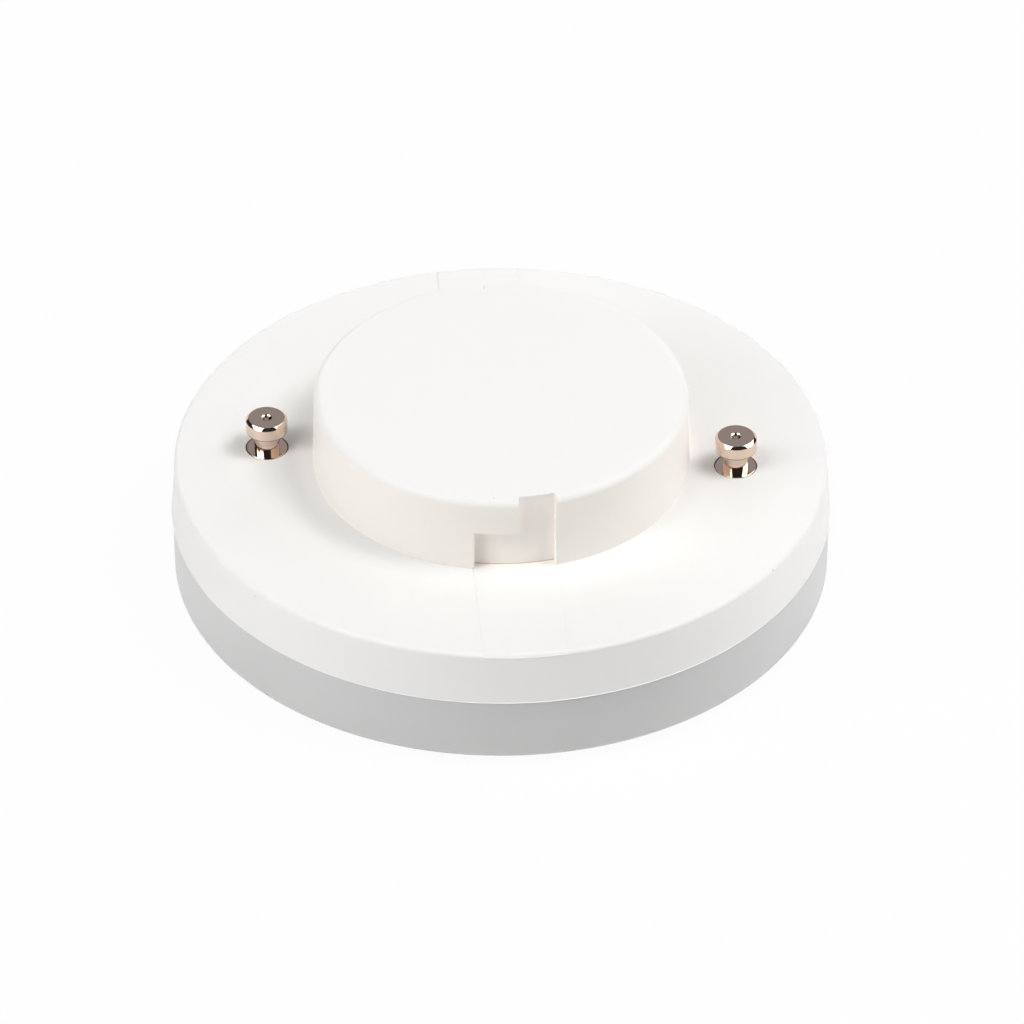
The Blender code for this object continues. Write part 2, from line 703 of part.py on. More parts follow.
def make_screw(name, angle):
    tip = Z_FACE - POST_FLOOR - FIT
    foot = Z_LED_BOARD - SCREW_HEAD_HEIGHT
    profile = [
        (0, tip),
        (SCREW_RADIUS, tip - SCREW_POINT),
        (SCREW_RADIUS, Z_LED_BOARD),
        (SCREW_HEAD_RADIUS, Z_LED_BOARD),
        (SCREW_HEAD_RADIUS, Z_LED_BOARD - SCREW_HEAD_HEIGHT / 2),
        (SCREW_HEAD_RADIUS - SCREW_HEAD_HEIGHT / 2, foot),
        (0, foot),
    ]
    screw = lathe(name, profile, SMALL_FACETS)
    for width, length in ((SCREW_DRIVE_WIDTH, SCREW_DRIVE_LENGTH), (SCREW_DRIVE_LENGTH, SCREW_DRIVE_WIDTH)):
        low = (-width / 2, -length / 2, foot - OVERLAP)
        high = (width / 2, length / 2, foot + SCREW_DRIVE_DEPTH)
        cut(screw, around(block("drive", low, high, tool=True), angle, SCREW_CIRCLE))
    return around(screw, angle, SCREW_CIRCLE)


def place(item, spot, turn=0.0):
    """Stand a piece that was built on the origin on the driver board."""
    move = Matrix.Translation((spot[0], spot[1], Z_BOARD_TOP))
    item.matrix_world = move @ Matrix.Rotation(turn, 4, "Z") @ item.matrix_world
    return item


def lying(item, height):
    """Lay a piece that was turned about Z along X, its middle at this height."""
    item.matrix_world = Matrix.Translation((0, 0, height)) @ Matrix.Rotation(math.pi / 2, 4, "Y")
    return item


def capacitor_profile(radius, length, top):
    """An aluminium can with its closed end up, from the height top down, rolled in above the seal."""
    roll = CASE_BEVEL
    seal = top - length
    return [
        (0, top),
        (radius - roll, top),
        (radius, top - roll),
        (radius, seal + 6 * roll),
        (radius - roll, seal + 5 * roll),
        (radius - roll, seal + 4 * roll),
        (radius, seal + 3 * roll),
        (radius, seal + roll),
        (radius - roll, seal),
        (0, seal),
    ]


def make_input_capacitor():
    """It lies along X on its side, and its two leads bend down to the board."""
    half = INPUT_CAPACITOR_LENGTH / 2
    height = INPUT_CAPACITOR_RADIUS + FIT
    profile = capacitor_profile(INPUT_CAPACITOR_RADIUS, INPUT_CAPACITOR_LENGTH, half)
    can = lying(lathe("input_capacitor", profile, SMALL_FACETS), height)
    capacitor = place(can, INPUT_CAPACITOR_PLACE)
    bend = 4 * COMPONENT_LEAD_RADIUS
    for side in (-1, 1):
        y = side * INPUT_CAPACITOR_LEAD_PITCH / 2
        route = [
            (-half + OVERLAP, y, height),
            (-half - bend / 3, y, height),
            (-half - bend, y, height - bend),
            (-half - bend, y, height / 2),
            (-half - bend, y, 0),
        ]
        lead = wire("capacitor_lead", route, COMPONENT_LEAD_RADIUS, SHORT_WIRE_STEPS, tool=True)
        join(capacitor, place(lead, INPUT_CAPACITOR_PLACE))
    return capacitor


def make_output_capacitor():
    profile = capacitor_profile(OUTPUT_CAPACITOR_RADIUS, OUTPUT_CAPACITOR_HEIGHT, OUTPUT_CAPACITOR_HEIGHT)
    return place(lathe("output_capacitor", profile, SMALL_FACETS), OUTPUT_CAPACITOR_PLACE)


def make_choke():
    """A ferrite drum and the copper wound on it."""
    upper = CHOKE_HEIGHT - CHOKE_FLANGE
    core = lathe(
        "choke_core",
        [
            (0, CHOKE_HEIGHT),
            (CHOKE_RADIUS, CHOKE_HEIGHT),
            (CHOKE_RADIUS, upper),
            (CHOKE_CORE_RADIUS, upper),
            (CHOKE_CORE_RADIUS, CHOKE_FLANGE),
            (CHOKE_RADIUS, CHOKE_FLANGE),
            (CHOKE_RADIUS, 0),
            (0, 0),
        ],
        SMALL_FACETS,
    )
    winding = lathe(
        "choke_winding",
        [
            (CHOKE_CORE_RADIUS + FIT, upper - FIT),
            (CHOKE_WINDING_RADIUS, upper - FIT),
            (CHOKE_WINDING_RADIUS, CHOKE_FLANGE + FIT),
            (CHOKE_CORE_RADIUS + FIT, CHOKE_FLANGE + FIT),
        ],
        SMALL_FACETS,
        ring=True,
    )
    return place(core, CHOKE_PLACE), place(winding, CHOKE_PLACE)


def case(name, size, bevel=CASE_BEVEL):
    """A moulded case that stands on the origin."""
    half_x = size[0] / 2
    half_y = size[1] / 2
    return block(name, (-half_x, -half_y, 0), (half_x, half_y, size[2]), bevel=bevel)


def make_fuse():
    """A fusible resistor on its two bent leads."""
    half = FUSE_LENGTH / 2
    height = FUSE_RADIUS + 2 * FIT
    cap = FUSE_LENGTH / 6
    profile = [
        (0, half),
        (FUSE_RADIUS - CASE_BEVEL, half),
        (FUSE_RADIUS, half - CASE_BEVEL),
        (FUSE_RADIUS, half - cap),
        (FUSE_RADIUS - CASE_BEVEL / 2, half - cap - CASE_BEVEL),
        (FUSE_RADIUS - CASE_BEVEL / 2, cap + CASE_BEVEL - half),
        (FUSE_RADIUS, cap - half),
        (FUSE_RADIUS, CASE_BEVEL - half),
        (FUSE_RADIUS - CASE_BEVEL, -half),
        (0, -half),
    ]
    fuse = place(lying(lathe("fusible_resistor", profile, SMALL_FACETS), height), FUSE_PLACE)
    end = half + FUSE_LEAD_REACH - COMPONENT_LEAD_RADIUS
    for side in (-1, 1):
        route = [
            (side * (half - OVERLAP), 0, height),
            (side * (half + FUSE_LEAD_REACH / 3), 0, height),
            (side * end, 0, height / 2),
            (side * end, 0, 0),
        ]
        lead = wire("fuse_lead", route, COMPONENT_LEAD_RADIUS, SHORT_WIRE_STEPS, tool=True)
        join(fuse, place(lead, FUSE_PLACE))
    return fuse


def make_varistor():
    """A dipped disc that stands on edge on two straight leads."""
    half = VARISTOR_THICKNESS / 2
    profile = [
        (0, half),
        (VARISTOR_RADIUS - 2 * CASE_BEVEL, half),
        (VARISTOR_RADIUS, half - 2 * CASE_BEVEL),
        (VARISTOR_RADIUS, 2 * CASE_BEVEL - half),
        (VARISTOR_RADIUS - 2 * CASE_BEVEL, -half),
        (0, -half),
    ]
    varistor = lathe("varistor", profile, SMALL_FACETS)
    turn = Matrix.Rotation(math.pi / 2, 4, "X")
    varistor.matrix_world = Matrix.Translation((0, 0, VARISTOR_RADIUS + FIT)) @ turn
    place(varistor, VARISTOR_PLACE)
    for side in (-1, 1):
        lead = rod("varistor_lead", COMPONENT_LEAD_RADIUS, 0, VARISTOR_RADIUS, SMALL_FACETS // 2, tool=True)
        lead.matrix_world = Matrix.Translation((side * VARISTOR_RADIUS / 2, 0, 0))
        join(varistor, place(lead, VARISTOR_PLACE))
    return varistor


def add_legs(item, spot, size, count, pitch, width, reach):
    """A row of flat legs on each long side of a moulded case."""
    inner = size[1] / 2 - OVERLAP
    outer = size[1] / 2 + reach
    for side in (0, math.pi):
        for step in range(count):
            offset = pitch * (step - (count - 1) / 2)
            low = (offset - width / 2, inner, 0)
            high = (offset + width / 2, outer, LEG_HEIGHT)
            leg = around(block("leg", low, high, tool=True), side)
            join(item, place(leg, spot))


def make_bridge():
    bridge = place(case("bridge_rectifier", BRIDGE_SIZE), BRIDGE_PLACE)
    add_legs(bridge, BRIDGE_PLACE, BRIDGE_SIZE, 2, BRIDGE_LEG_PITCH, BRIDGE_LEG_WIDTH, BRIDGE_LEG_REACH)
    return bridge


def make_driver_chip():
    chip = place(case("driver_chip", CHIP_SIZE), CHIP_PLACE)
    add_legs(chip, CHIP_PLACE, CHIP_SIZE, 4, CHIP_LEG_PITCH, CHIP_LEG_WIDTH, CHIP_LEG_REACH)
    return chip


def make_diode():
    diode = place(case("diode", DIODE_SIZE), DIODE_PLACE)
    half = DIODE_TAB_WIDTH / 2
    low = (DIODE_SIZE[0] / 2 - OVERLAP, -half, 0)
    high = (DIODE_SIZE[0] / 2 + DIODE_TAB_REACH, half, DIODE_SIZE[2] / 2)
    for side in (0, math.pi):
        tab = around(block("tab", low, high, tool=True), side)
        join(diode, place(tab, DIODE_PLACE))
    return diode


def make_input_lead(name, side):
    """From the tag's tongue through the ring's notch to the underside of the driver board."""
    start = PIN_OFFSET - TAG_RADIUS - TAG_TONGUE_LENGTH - FIT
    level = (Z_TAG + Z_TAG_TOP) / 2
    route = [(start, 0, level), (INPUT_LEAD_END, 0, level)]
    return around(wire(name, route, LEAD_RADIUS), side)


def make_output_lead(name, side):
    """Down from the driver board through the spreader and out along the LED board's lower face."""
    level = Z_LED_BOARD - FIT - LEAD_RADIUS
    bend = OUTPUT_LEAD_BEND
    centre = (OUTPUT_LEAD_OFFSET + bend, level + bend)
    turn = arc(centre, (bend, bend), 180, 270, BEND_STEPS)
    profile = [(OUTPUT_LEAD_OFFSET, Z_BOARD - FIT)] + turn + [(OUTPUT_LEAD_REACH, level)]
    route = [(x, 0, z) for x, z in profile]
    return around(wire(name, route, LEAD_RADIUS), side)


def paint(name, colour, roughness, metallic=0.0):
    material = bpy.data.materials.new(name)
    material.use_nodes = True
    shader = material.node_tree.nodes["Principled BSDF"]
    shader.inputs["Base Color"].default_value = (*colour, 1)
    shader.inputs["Roughness"].default_value = roughness
    shader.inputs["Metallic"].default_value = metallic
    material.diffuse_color = (*colour, 1)
    return material


def make_all():
    """Every piece with its material's name."""
    pieces = [
        (make_housing(), "white_plastic"),
        (make_diffuser(), "opal_plastic"),
        (make_pin("contact_pin_right", 0), "nickel_plate"),
        (make_pin("contact_pin_left", math.pi), "nickel_plate"),
        (make_tag("solder_tag_right", 0), "tinned_brass"),
        (make_tag("solder_tag_left", math.pi), "tinned_brass"),
        (make_tray(), "natural_nylon"),
        (make_spreader(), "aluminium"),
        (make_led_board(), "white_mask"),
        (make_driver_board(), "board_laminate"),
        (make_input_capacitor(), "capacitor_sleeve"),
        (make_output_capacitor(), "capacitor_sleeve"),
        (place(case("film_capacitor", FILM_CAPACITOR_SIZE), FILM_CAPACITOR_PLACE), "yellow_case"),
        (make_fuse(), "green_lacquer"),
        (make_varistor(), "blue_coating"),
        (make_bridge(), "black_epoxy"),
        (make_driver_chip(), "black_epoxy"),
        (make_diode(), "black_epoxy"),
        (make_input_lead("input_lead_right", 0), "red_insulation"),
        (make_input_lead("input_lead_left", math.pi), "white_insulation"),
        (make_output_lead("output_lead_positive", 0), "red_insulation"),
        (make_output_lead("output_lead_negative", math.pi), "white_insulation"),
    ]
    core, winding = make_choke()
    pieces += [(core, "ferrite"), (winding, "copper")]
    for number, angle in enumerate(screw_angles(), 1):
        pieces.append((make_screw(f"board_screw_{number}", angle), "zinc_plate"))
    for number, (x, y, turn) in enumerate(CHIP_RESISTOR_PLACES, 1):
        resistor = case(f"chip_resistor_{number}", CHIP_RESISTOR_SIZE, bevel=CASE_BEVEL / 3)
        pieces.append((place(resistor, (x, y), math.radians(turn)), "black_epoxy"))
    number = 0
    for count, radius in ((OUTER_LEDS, LED_BOARD_RADIUS - OUTER_LED_INSET), (INNER_LEDS, INNER_LED_RADIUS)):
        for step in range(count):
            number += 1
            angle = math.tau * (step + 0.5) / count
            pieces.append((make_led(f"led_{number:02d}", angle, radius), "led_case"))
    return pieces


PAINTS = {
    "white_plastic": ((0.86, 0.85, 0.835), 0.42),
    "opal_plastic": ((0.80, 0.81, 0.81), 0.45),
    "nickel_plate": ((0.80, 0.73, 0.66), 0.08, 1.0),
    "tinned_brass": ((0.72, 0.70, 0.66), 0.3, 1.0),
    "natural_nylon": ((0.80, 0.79, 0.74), 0.5),
    "aluminium": ((0.80, 0.81, 0.82), 0.35, 1.0),
    "white_mask": ((0.88, 0.88, 0.86), 0.35),
    "board_laminate": ((0.10, 0.30, 0.12), 0.4),
    "capacitor_sleeve": ((0.03, 0.05, 0.12), 0.35),
    "yellow_case": ((0.75, 0.50, 0.05), 0.4),
    "green_lacquer": ((0.10, 0.30, 0.16), 0.45),
    "blue_coating": ((0.03, 0.14, 0.45), 0.4),
    "black_epoxy": ((0.02, 0.02, 0.022), 0.5),
    "red_insulation": ((0.55, 0.03, 0.02), 0.45),
    "white_insulation": ((0.80, 0.80, 0.78), 0.45),
    "ferrite": ((0.05, 0.05, 0.055), 0.55),
    "copper": ((0.72, 0.32, 0.16), 0.3, 1.0),
    "zinc_plate": ((0.66, 0.67, 0.68), 0.3, 1.0),
    "led_case": ((0.88, 0.80, 0.45), 0.4),
}


def main():
    clear_scene()
    pieces = make_all()
    bpy.context.view_layer.update()
    for item, paint_name in pieces:
        settle(item, paint(item.name, *PAINTS[paint_name]))


main()
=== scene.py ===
"""The lamp as it was photographed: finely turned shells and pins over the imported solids, with every finish.

Lengths are in metres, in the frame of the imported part: the origin is under the diffuser, +Z runs up the
lamp's axis, the pins lie on X and the keyways face -Y and +Y.
"""

import json
import math

import bmesh
import bpy
from mathutils import Matrix, Vector


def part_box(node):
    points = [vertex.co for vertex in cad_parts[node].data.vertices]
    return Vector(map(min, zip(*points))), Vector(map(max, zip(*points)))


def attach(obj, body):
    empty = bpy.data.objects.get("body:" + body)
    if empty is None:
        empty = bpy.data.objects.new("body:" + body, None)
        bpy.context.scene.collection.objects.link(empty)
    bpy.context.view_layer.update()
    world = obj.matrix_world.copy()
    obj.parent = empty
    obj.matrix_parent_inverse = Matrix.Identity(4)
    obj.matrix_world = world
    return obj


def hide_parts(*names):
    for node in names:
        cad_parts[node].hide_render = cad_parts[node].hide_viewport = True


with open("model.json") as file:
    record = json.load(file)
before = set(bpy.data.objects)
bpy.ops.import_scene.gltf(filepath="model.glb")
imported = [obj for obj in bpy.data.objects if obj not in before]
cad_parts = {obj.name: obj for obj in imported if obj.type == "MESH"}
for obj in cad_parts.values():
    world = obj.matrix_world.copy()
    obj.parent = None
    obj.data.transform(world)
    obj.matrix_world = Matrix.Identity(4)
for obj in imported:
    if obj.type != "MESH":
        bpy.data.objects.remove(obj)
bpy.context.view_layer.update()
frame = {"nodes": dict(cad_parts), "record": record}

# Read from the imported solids
housing_low, housing_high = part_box("housing")
diffuser_low, diffuser_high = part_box("diffuser")
pin_low, pin_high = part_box("contact_pin_right")
SKIRT_FOOT = housing_high.x
Z_JOINT = housing_low.z
Z_BOSS = housing_high.z
DIFFUSER_RADIUS = diffuser_high.x
Z_HOOK_TOP = diffuser_high.z
PIN_OFFSET = (pin_low.x + pin_high.x) / 2
Z_PIN_TOP = pin_high.z
Z_RIVET = pin_low.z

# Housing
SKIRT_DRAFT = 0.00039
SKIRT_HEIGHT = 0.0064
SKIRT_LIP = 0.00008
RIM_FILLET = 0.0005
BOSS_RADIUS = 0.02105
BOSS_DRAFT = 0.00022
BOSS_FILLET = 0.0008
WALL = 0.0016
RIB_THICKNESS = 0.001
RIB_HEIGHT = 0.0008
BOARD_STOP_THICKNESS = 0.0012
KEYWAY_TURN = math.radians(8.15)
KEYWAY_DEPTH = 0.0011
KEYWAY_FILLET = 0.0005
KEYWAY_HALF_WIDTH = 0.00456
ENTRY_WIDTH = 0.00414
SLOT_HEIGHT = 0.0048
KEYWAY_BACKING = 0.0012
ARRIS = 0.00006

# The mould insert that formed each keyway left a band whose rim ends in a crisp lip, with traces of flash on
# the front one, and a parting line along each side
BAND_HALF_WIDTH = 0.0047
BAND_STEP = 0.00001
BAND_REACH = 0.002
LIP_DROP = 0.0004
LIP_OVERHANG = 0.00005
FLASH_SIZE = 0.0001
FLASH_STRETCHES = ((-0.00465, -0.00385), (0.00305, 0.0038))
LINE_WIDTH = 0.00011
# Left and right line as seen from outside, at the front and then at the rear
LINE_DEPTHS = ((0.00006, 0.00005), (0.00007, 0.00009))

# Diffuser
DIFFUSER_DRAFT = 0.00013
DIFFUSER_WALL = 0.0016
DIFFUSER_EDGE_REACH = 0.007
DIFFUSER_EDGE_DROP = 0.0021
LAP_HEIGHT = 0.0022
LAP_SKIRT_WALL = 0.00074
HOOK_COUNT = 4
HOOK_START = math.radians(45)
HOOK_WIDTH = 0.006
HOOK_THICKNESS = 0.0012
HOOK_ROOT = 0.0015
HOOK_NOSE = 0.0007
HOOK_NOSE_HEIGHT = 0.001
HOOK_PLAY = 0.0002
POCKET_CLEARANCE = 0.0004

# Contact pins
PIN_HEAD_RADIUS = 0.00236
PIN_HEAD_HEIGHT = 0.00173
PIN_HEAD_CHAMFER = 0.00031
PIN_EDGE = 0.00004
PIN_DIMPLE_RADIUS = 0.0006
PIN_DIMPLE_FLOOR = 0.00027
PIN_DIMPLE_DEPTH = 0.00025
PIN_DIMPLE_SHADE_REACH = 0.00046
PIN_NECK_RADIUS = 0.00143
PIN_FLANGE_RADIUS = 0.00232
PIN_FLANGE_THICKNESS = 0.0008
PIN_FLANGE_EDGE = 0.00008
PIN_SHANK_RADIUS = 0.0016
PIN_TAIL_RADIUS = 0.0011
PIN_RIVET_RADIUS = 0.0019
PIN_PAD_MARGIN = 0.0011
PIN_PAD_HEIGHT = 0.001
TAG_THICKNESS = 0.0004

# Inside, where it shapes the housing
TAIL_CLEARANCE = 0.0005
TRAY_THICKNESS = 0.0005
TRAY_RING_HEIGHT = 0.002
SPREADER_THICKNESS = 0.001
BOARD_THICKNESS = 0.001
LED_BOARD_INSET = 0.0006
POST_RADIUS = 0.00275
POST_INSET = 0.005
POST_FLOOR = 0.0006
SCREW_COUNT = 3
SCREW_START = math.radians(90)
SCREW_RADIUS = 0.0011
FIT = 0.0003
FLANGE_FIT = 0.00012
OVERLAP = 0.0004

# The two keyways and the two pins stand half a turn apart
OPPOSITE = (0, math.pi)

# Facets
ROUND = 256
PIN_ROUND = 96
INNER_ROUND = 48
FILLET_STEPS = 10
EDGE_STEPS = 24
CORNER_STEPS = 5
KEYWAY_FILLET_STEPS = 6
ARRIS_STEPS = 2
SMOOTH_ANGLE = math.radians(25)
ARRIS_ANGLE = math.radians(40)
MERGE_DISTANCE = 0.0000005

# Heights and radii that follow
Z_FACE = Z_JOINT + SKIRT_HEIGHT
Z_CEILING = Z_BOSS - WALL
Z_FACE_INSIDE = Z_FACE - WALL
Z_TAG_TOP = Z_FACE_INSIDE - PIN_PAD_HEIGHT
Z_TAG = Z_TAG_TOP - TAG_THICKNESS
Z_TRAY_TOP = Z_RIVET - TAIL_CLEARANCE
Z_SPREADER_TOP = Z_TRAY_TOP - TRAY_THICKNESS
Z_SPREADER = Z_SPREADER_TOP - SPREADER_THICKNESS
Z_BOARD_TOP = Z_TRAY_TOP + TRAY_RING_HEIGHT + BOARD_THICKNESS
SKIRT_RADIUS = SKIRT_FOOT - SKIRT_DRAFT
SKIRT_BORE = SKIRT_RADIUS - WALL
REBATE_RADIUS = SKIRT_FOOT - LAP_SKIRT_WALL
DIFFUSER_BORE = DIFFUSER_RADIUS - DIFFUSER_WALL
HOOK_OUTSIDE = SKIRT_BORE - FIT
HOOK_INSIDE = HOOK_OUTSIDE - HOOK_THICKNESS
SCREW_CIRCLE = HOOK_INSIDE - LED_BOARD_INSET - POST_INSET
BOSS_BORE = BOSS_RADIUS - WALL
KEYWAY_FLOOR = BOSS_RADIUS - KEYWAY_DEPTH
PAD_PLANE = math.sqrt(KEYWAY_FLOOR ** 2 - KEYWAY_HALF_WIDTH ** 2) - KEYWAY_BACKING
BOARD_RADIUS = PAD_PLANE - FIT

# Camera, as fitted to the photograph's outlines
CAMERA_DISTANCE = 1.18173
CAMERA_ELEVATION = math.radians(36.491)
CAMERA_AZIMUTH = math.radians(3.854)
CAMERA_AIM = Vector((0.001233, 0.000083, 0.007747))
FOCAL_LENGTH = 368.07
SENSOR_WIDTH = 36.0
PICTURE_SIDE = 1024

# Specks of dirt: pixel in the photograph, radius, and how dark
SPECKS_ON_BOSS = (
    ((494, 498), 0.00007, 0.5),
)
SPECKS_ON_RIM = (
    ((773, 570), 0.00009, 0.7),
)
SPECKS_ON_SKIRT = (
    ((255, 596), 0.00011, 0.33),
)


# Helpers

def link(name, data):
    """A new object in the scene for a mesh, a light or a camera."""
    item = bpy.data.objects.new(name, data)
    bpy.context.scene.collection.objects.link(item)
    return item


def from_bmesh(name, shape):
    bmesh.ops.recalc_face_normals(shape, faces=shape.faces)
    mesh = bpy.data.meshes.new(name)
    shape.to_mesh(mesh)
    shape.free()
    return link(name, mesh)


def arc(centre, reach, start, end, steps):
    """Points on an ellipse's arc, in degrees, both ends included."""
    points = []
    for step in range(steps + 1):
        angle = math.radians(start + (end - start) * step / steps)
        points.append((centre[0] + reach[0] * math.cos(angle), centre[1] + reach[1] * math.sin(angle)))
    return points


def rounded(corners, steps):
    """A closed profile whose (radius, height, reach) corners are replaced by short rounds of that reach."""
    points = []
    count = len(corners)
    for place, (radius, height, reach) in enumerate(corners):
        corner = Vector((radius, height))
        if reach == 0:
            points.append((radius, height))
            continue
        before = (Vector(corners[place - 1][:2]) - corner).normalized()
        after = (Vector(corners[(place + 1) % count][:2]) - corner).normalized()
        start = corner + before * reach
        end = corner + after * reach
        for step in range(steps + 1):
            share = step / steps
            point = start * (1 - share) ** 2 + corner * 2 * share * (1 - share) + end * share ** 2
            points.append((point.x, point.y))
    return points


def lathe(name, profile, facets):
    """Turn a closed profile of (radius, height) about Z; points on the axis become poles."""
    shape = bmesh.new()
    rings = []
    for radius, height in profile:
        if radius == 0:
            rings.append([shape.verts.new((0, 0, height))])
            continue
        ring = []
        for step in range(facets):
            angle = math.tau * step / facets
            ring.append(shape.verts.new((radius * math.cos(angle), radius * math.sin(angle), height)))
        rings.append(ring)
    for first, second in zip(rings, rings[1:] + rings[:1]):
        for step in range(facets):
            after = (step + 1) % facets
            corners = [first[step % len(first)], second[step % len(second)]]
            if len(second) > 1:
                corners.append(second[after])
            if len(first) > 1:
                corners.append(first[after])
            if len(corners) > 2:
                shape.faces.new(corners)
    return from_bmesh(name, shape)


def rod(name, radius, low, high, facets):
    shape = bmesh.new()
    bmesh.ops.create_cone(
        shape, cap_ends=True, segments=facets, radius1=radius, radius2=radius, depth=high - low
    )
    turn = Matrix.Translation((0, 0, (low + high) / 2)) @ Matrix.Rotation(math.pi / facets, 4, "Z")
    bmesh.ops.transform(shape, matrix=turn, verts=shape.verts)
    return from_bmesh(name, shape)


def block(name, low, high):
    shape = bmesh.new()
    bmesh.ops.create_cube(shape, size=1.0)
    size = [top - bottom for bottom, top in zip(low, high)]
    middle = [(top + bottom) / 2 for bottom, top in zip(low, high)]
    bmesh.ops.scale(shape, vec=size, verts=shape.verts)
    bmesh.ops.translate(shape, vec=middle, verts=shape.verts)
    return from_bmesh(name, shape)


def upright_prism(name, outline, low, high):
    """A solid whose outline is drawn in X and Z, reaching from -low to -high in Y."""
    shape = bmesh.new()
    near = [shape.verts.new((x, -low, z)) for x, z in outline]
    far = [shape.verts.new((x, -high, z)) for x, z in outline]
    shape.faces.new(near)
    shape.faces.new(far)
    count = len(outline)
    for step in range(count):
        after = (step + 1) % count
        shape.faces.new((near[step], near[after], far[after], far[step]))
    return from_bmesh(name, shape)


def around(piece, angle, radius=0.0):
    """Move a piece out along X by the radius and turn it about the lamp's axis."""
    turn = Matrix.Rotation(angle, 4, "Z") @ Matrix.Translation((radius, 0, 0))
    piece.data.transform(turn)
    return piece


def combine(target, operation, tools):
    """One Boolean of the target with several tools, which are used up."""
    for tool in tools:
        modifier = target.modifiers.new(tool.name, "BOOLEAN")
        modifier.operation = operation
        modifier.object = tool
    graph = bpy.context.evaluated_depsgraph_get()
    mesh = bpy.data.meshes.new_from_object(target.evaluated_get(graph))
    target.modifiers.clear()
    target.data = mesh
    for tool in tools:
        bpy.data.objects.remove(tool, do_unlink=True)
    return target


def round_edges(piece, is_chosen, reach, steps):
    """Round the edges of a piece that a test chooses, once its doubled corners are merged."""
    shape = bmesh.new()
    shape.from_mesh(piece.data)
    bmesh.ops.remove_doubles(shape, verts=shape.verts, dist=MERGE_DISTANCE)
    chosen = [edge for edge in shape.edges if is_chosen(edge)]
    bmesh.ops.bevel(
        shape, geom=chosen, offset=reach, segments=steps, profile=0.5, affect="EDGES", clamp_overlap=False
    )
    shape.to_mesh(piece.data)
    shape.free()


def polish(piece):
    """Smooth shading between sharp edges, with the flats kept flat by area-weighted normals."""
    piece.data.name = piece.name
    piece.data.shade_smooth()
    piece.data.set_sharp_from_angle(angle=SMOOTH_ANGLE)
    weighted = piece.modifiers.new("weighted", "WEIGHTED_NORMAL")
    weighted.mode = "FACE_AREA"
    weighted.weight = 100
    weighted.keep_sharp = True
    return piece


def even_angles(start, count):
    return [start + math.tau * step / count for step in range(count)]


def camera_axes():
    """The camera's place, and its unit vectors to the right, up and forward."""
    flat = math.cos(CAMERA_ELEVATION) * CAMERA_DISTANCE
    place = Vector((
        flat * math.sin(CAMERA_AZIMUTH),
        -flat * math.cos(CAMERA_AZIMUTH),
        Z_FACE + math.sin(CAMERA_ELEVATION) * CAMERA_DISTANCE,
    ))
    forward = (CAMERA_AIM - place).normalized()
    right = forward.cross(Vector((0, 0, 1))).normalized()
    return place, right, right.cross(forward), forward


def ray_through(pixel):
    place, right, up, forward = camera_axes()
    scale = SENSOR_WIDTH / FOCAL_LENGTH / PICTURE_SIDE
    x = (pixel[0] - PICTURE_SIDE / 2) * scale
    y = (PICTURE_SIDE / 2 - pixel[1]) * scale
    return place, (forward + x * right + y * up).normalized()


def point_on_level(pixel, height):
    """Where the camera's ray through a pixel of the photograph meets a level plane."""
    place, ray = ray_through(pixel)
    return place + ray * ((height - place.z) / ray.z)


def point_on_wall(pixel, radius):
    """Where the camera's ray through a pixel of the photograph first meets an upright cylinder."""
    place, ray = ray_through(pixel)
    a = ray.x ** 2 + ray.y ** 2
    b = place.x * ray.x + place.y * ray.y
    c = place.x ** 2 + place.y ** 2 - radius ** 2
    return place + ray * ((-b - math.sqrt(b * b - a * c)) / a)


# Housing

def make_housing():
    """The white moulding: disc, skirt and boss, with all that is moulded under its face."""
    housing = make_disc()
    combine(housing, "UNION", [make_boss()] + rim_bands())
    combine(housing, "DIFFERENCE", [rod("boss_bore", BOSS_BORE, Z_FACE_INSIDE - WALL, Z_CEILING, ROUND)])
    combine(housing, "UNION", keyway_pads() + board_stops() + ribs_and_posts() + pin_pads())
    combine(housing, "DIFFERENCE", pin_seats() + screw_pilots() + hook_pockets() + parting_lines())
    return polish(housing)


def make_disc():
    """The disc and skirt alone, open below."""
    centre = (SKIRT_RADIUS - RIM_FILLET, Z_FACE - RIM_FILLET)
    profile = [(0, Z_FACE)]
    profile += arc(centre, (RIM_FILLET, RIM_FILLET), 90, 0, FILLET_STEPS)
    profile += [
        (SKIRT_FOOT - SKIRT_LIP, Z_JOINT + SKIRT_LIP),
        (SKIRT_FOOT, Z_JOINT),
        (REBATE_RADIUS, Z_JOINT),
        (REBATE_RADIUS, Z_JOINT + LAP_HEIGHT + FIT),
        (SKIRT_BORE, Z_JOINT + LAP_HEIGHT + FIT),
        (SKIRT_BORE, Z_FACE_INSIDE),
        (0, Z_FACE_INSIDE),
    ]
    return lathe("housing_moulding", profile, ROUND)


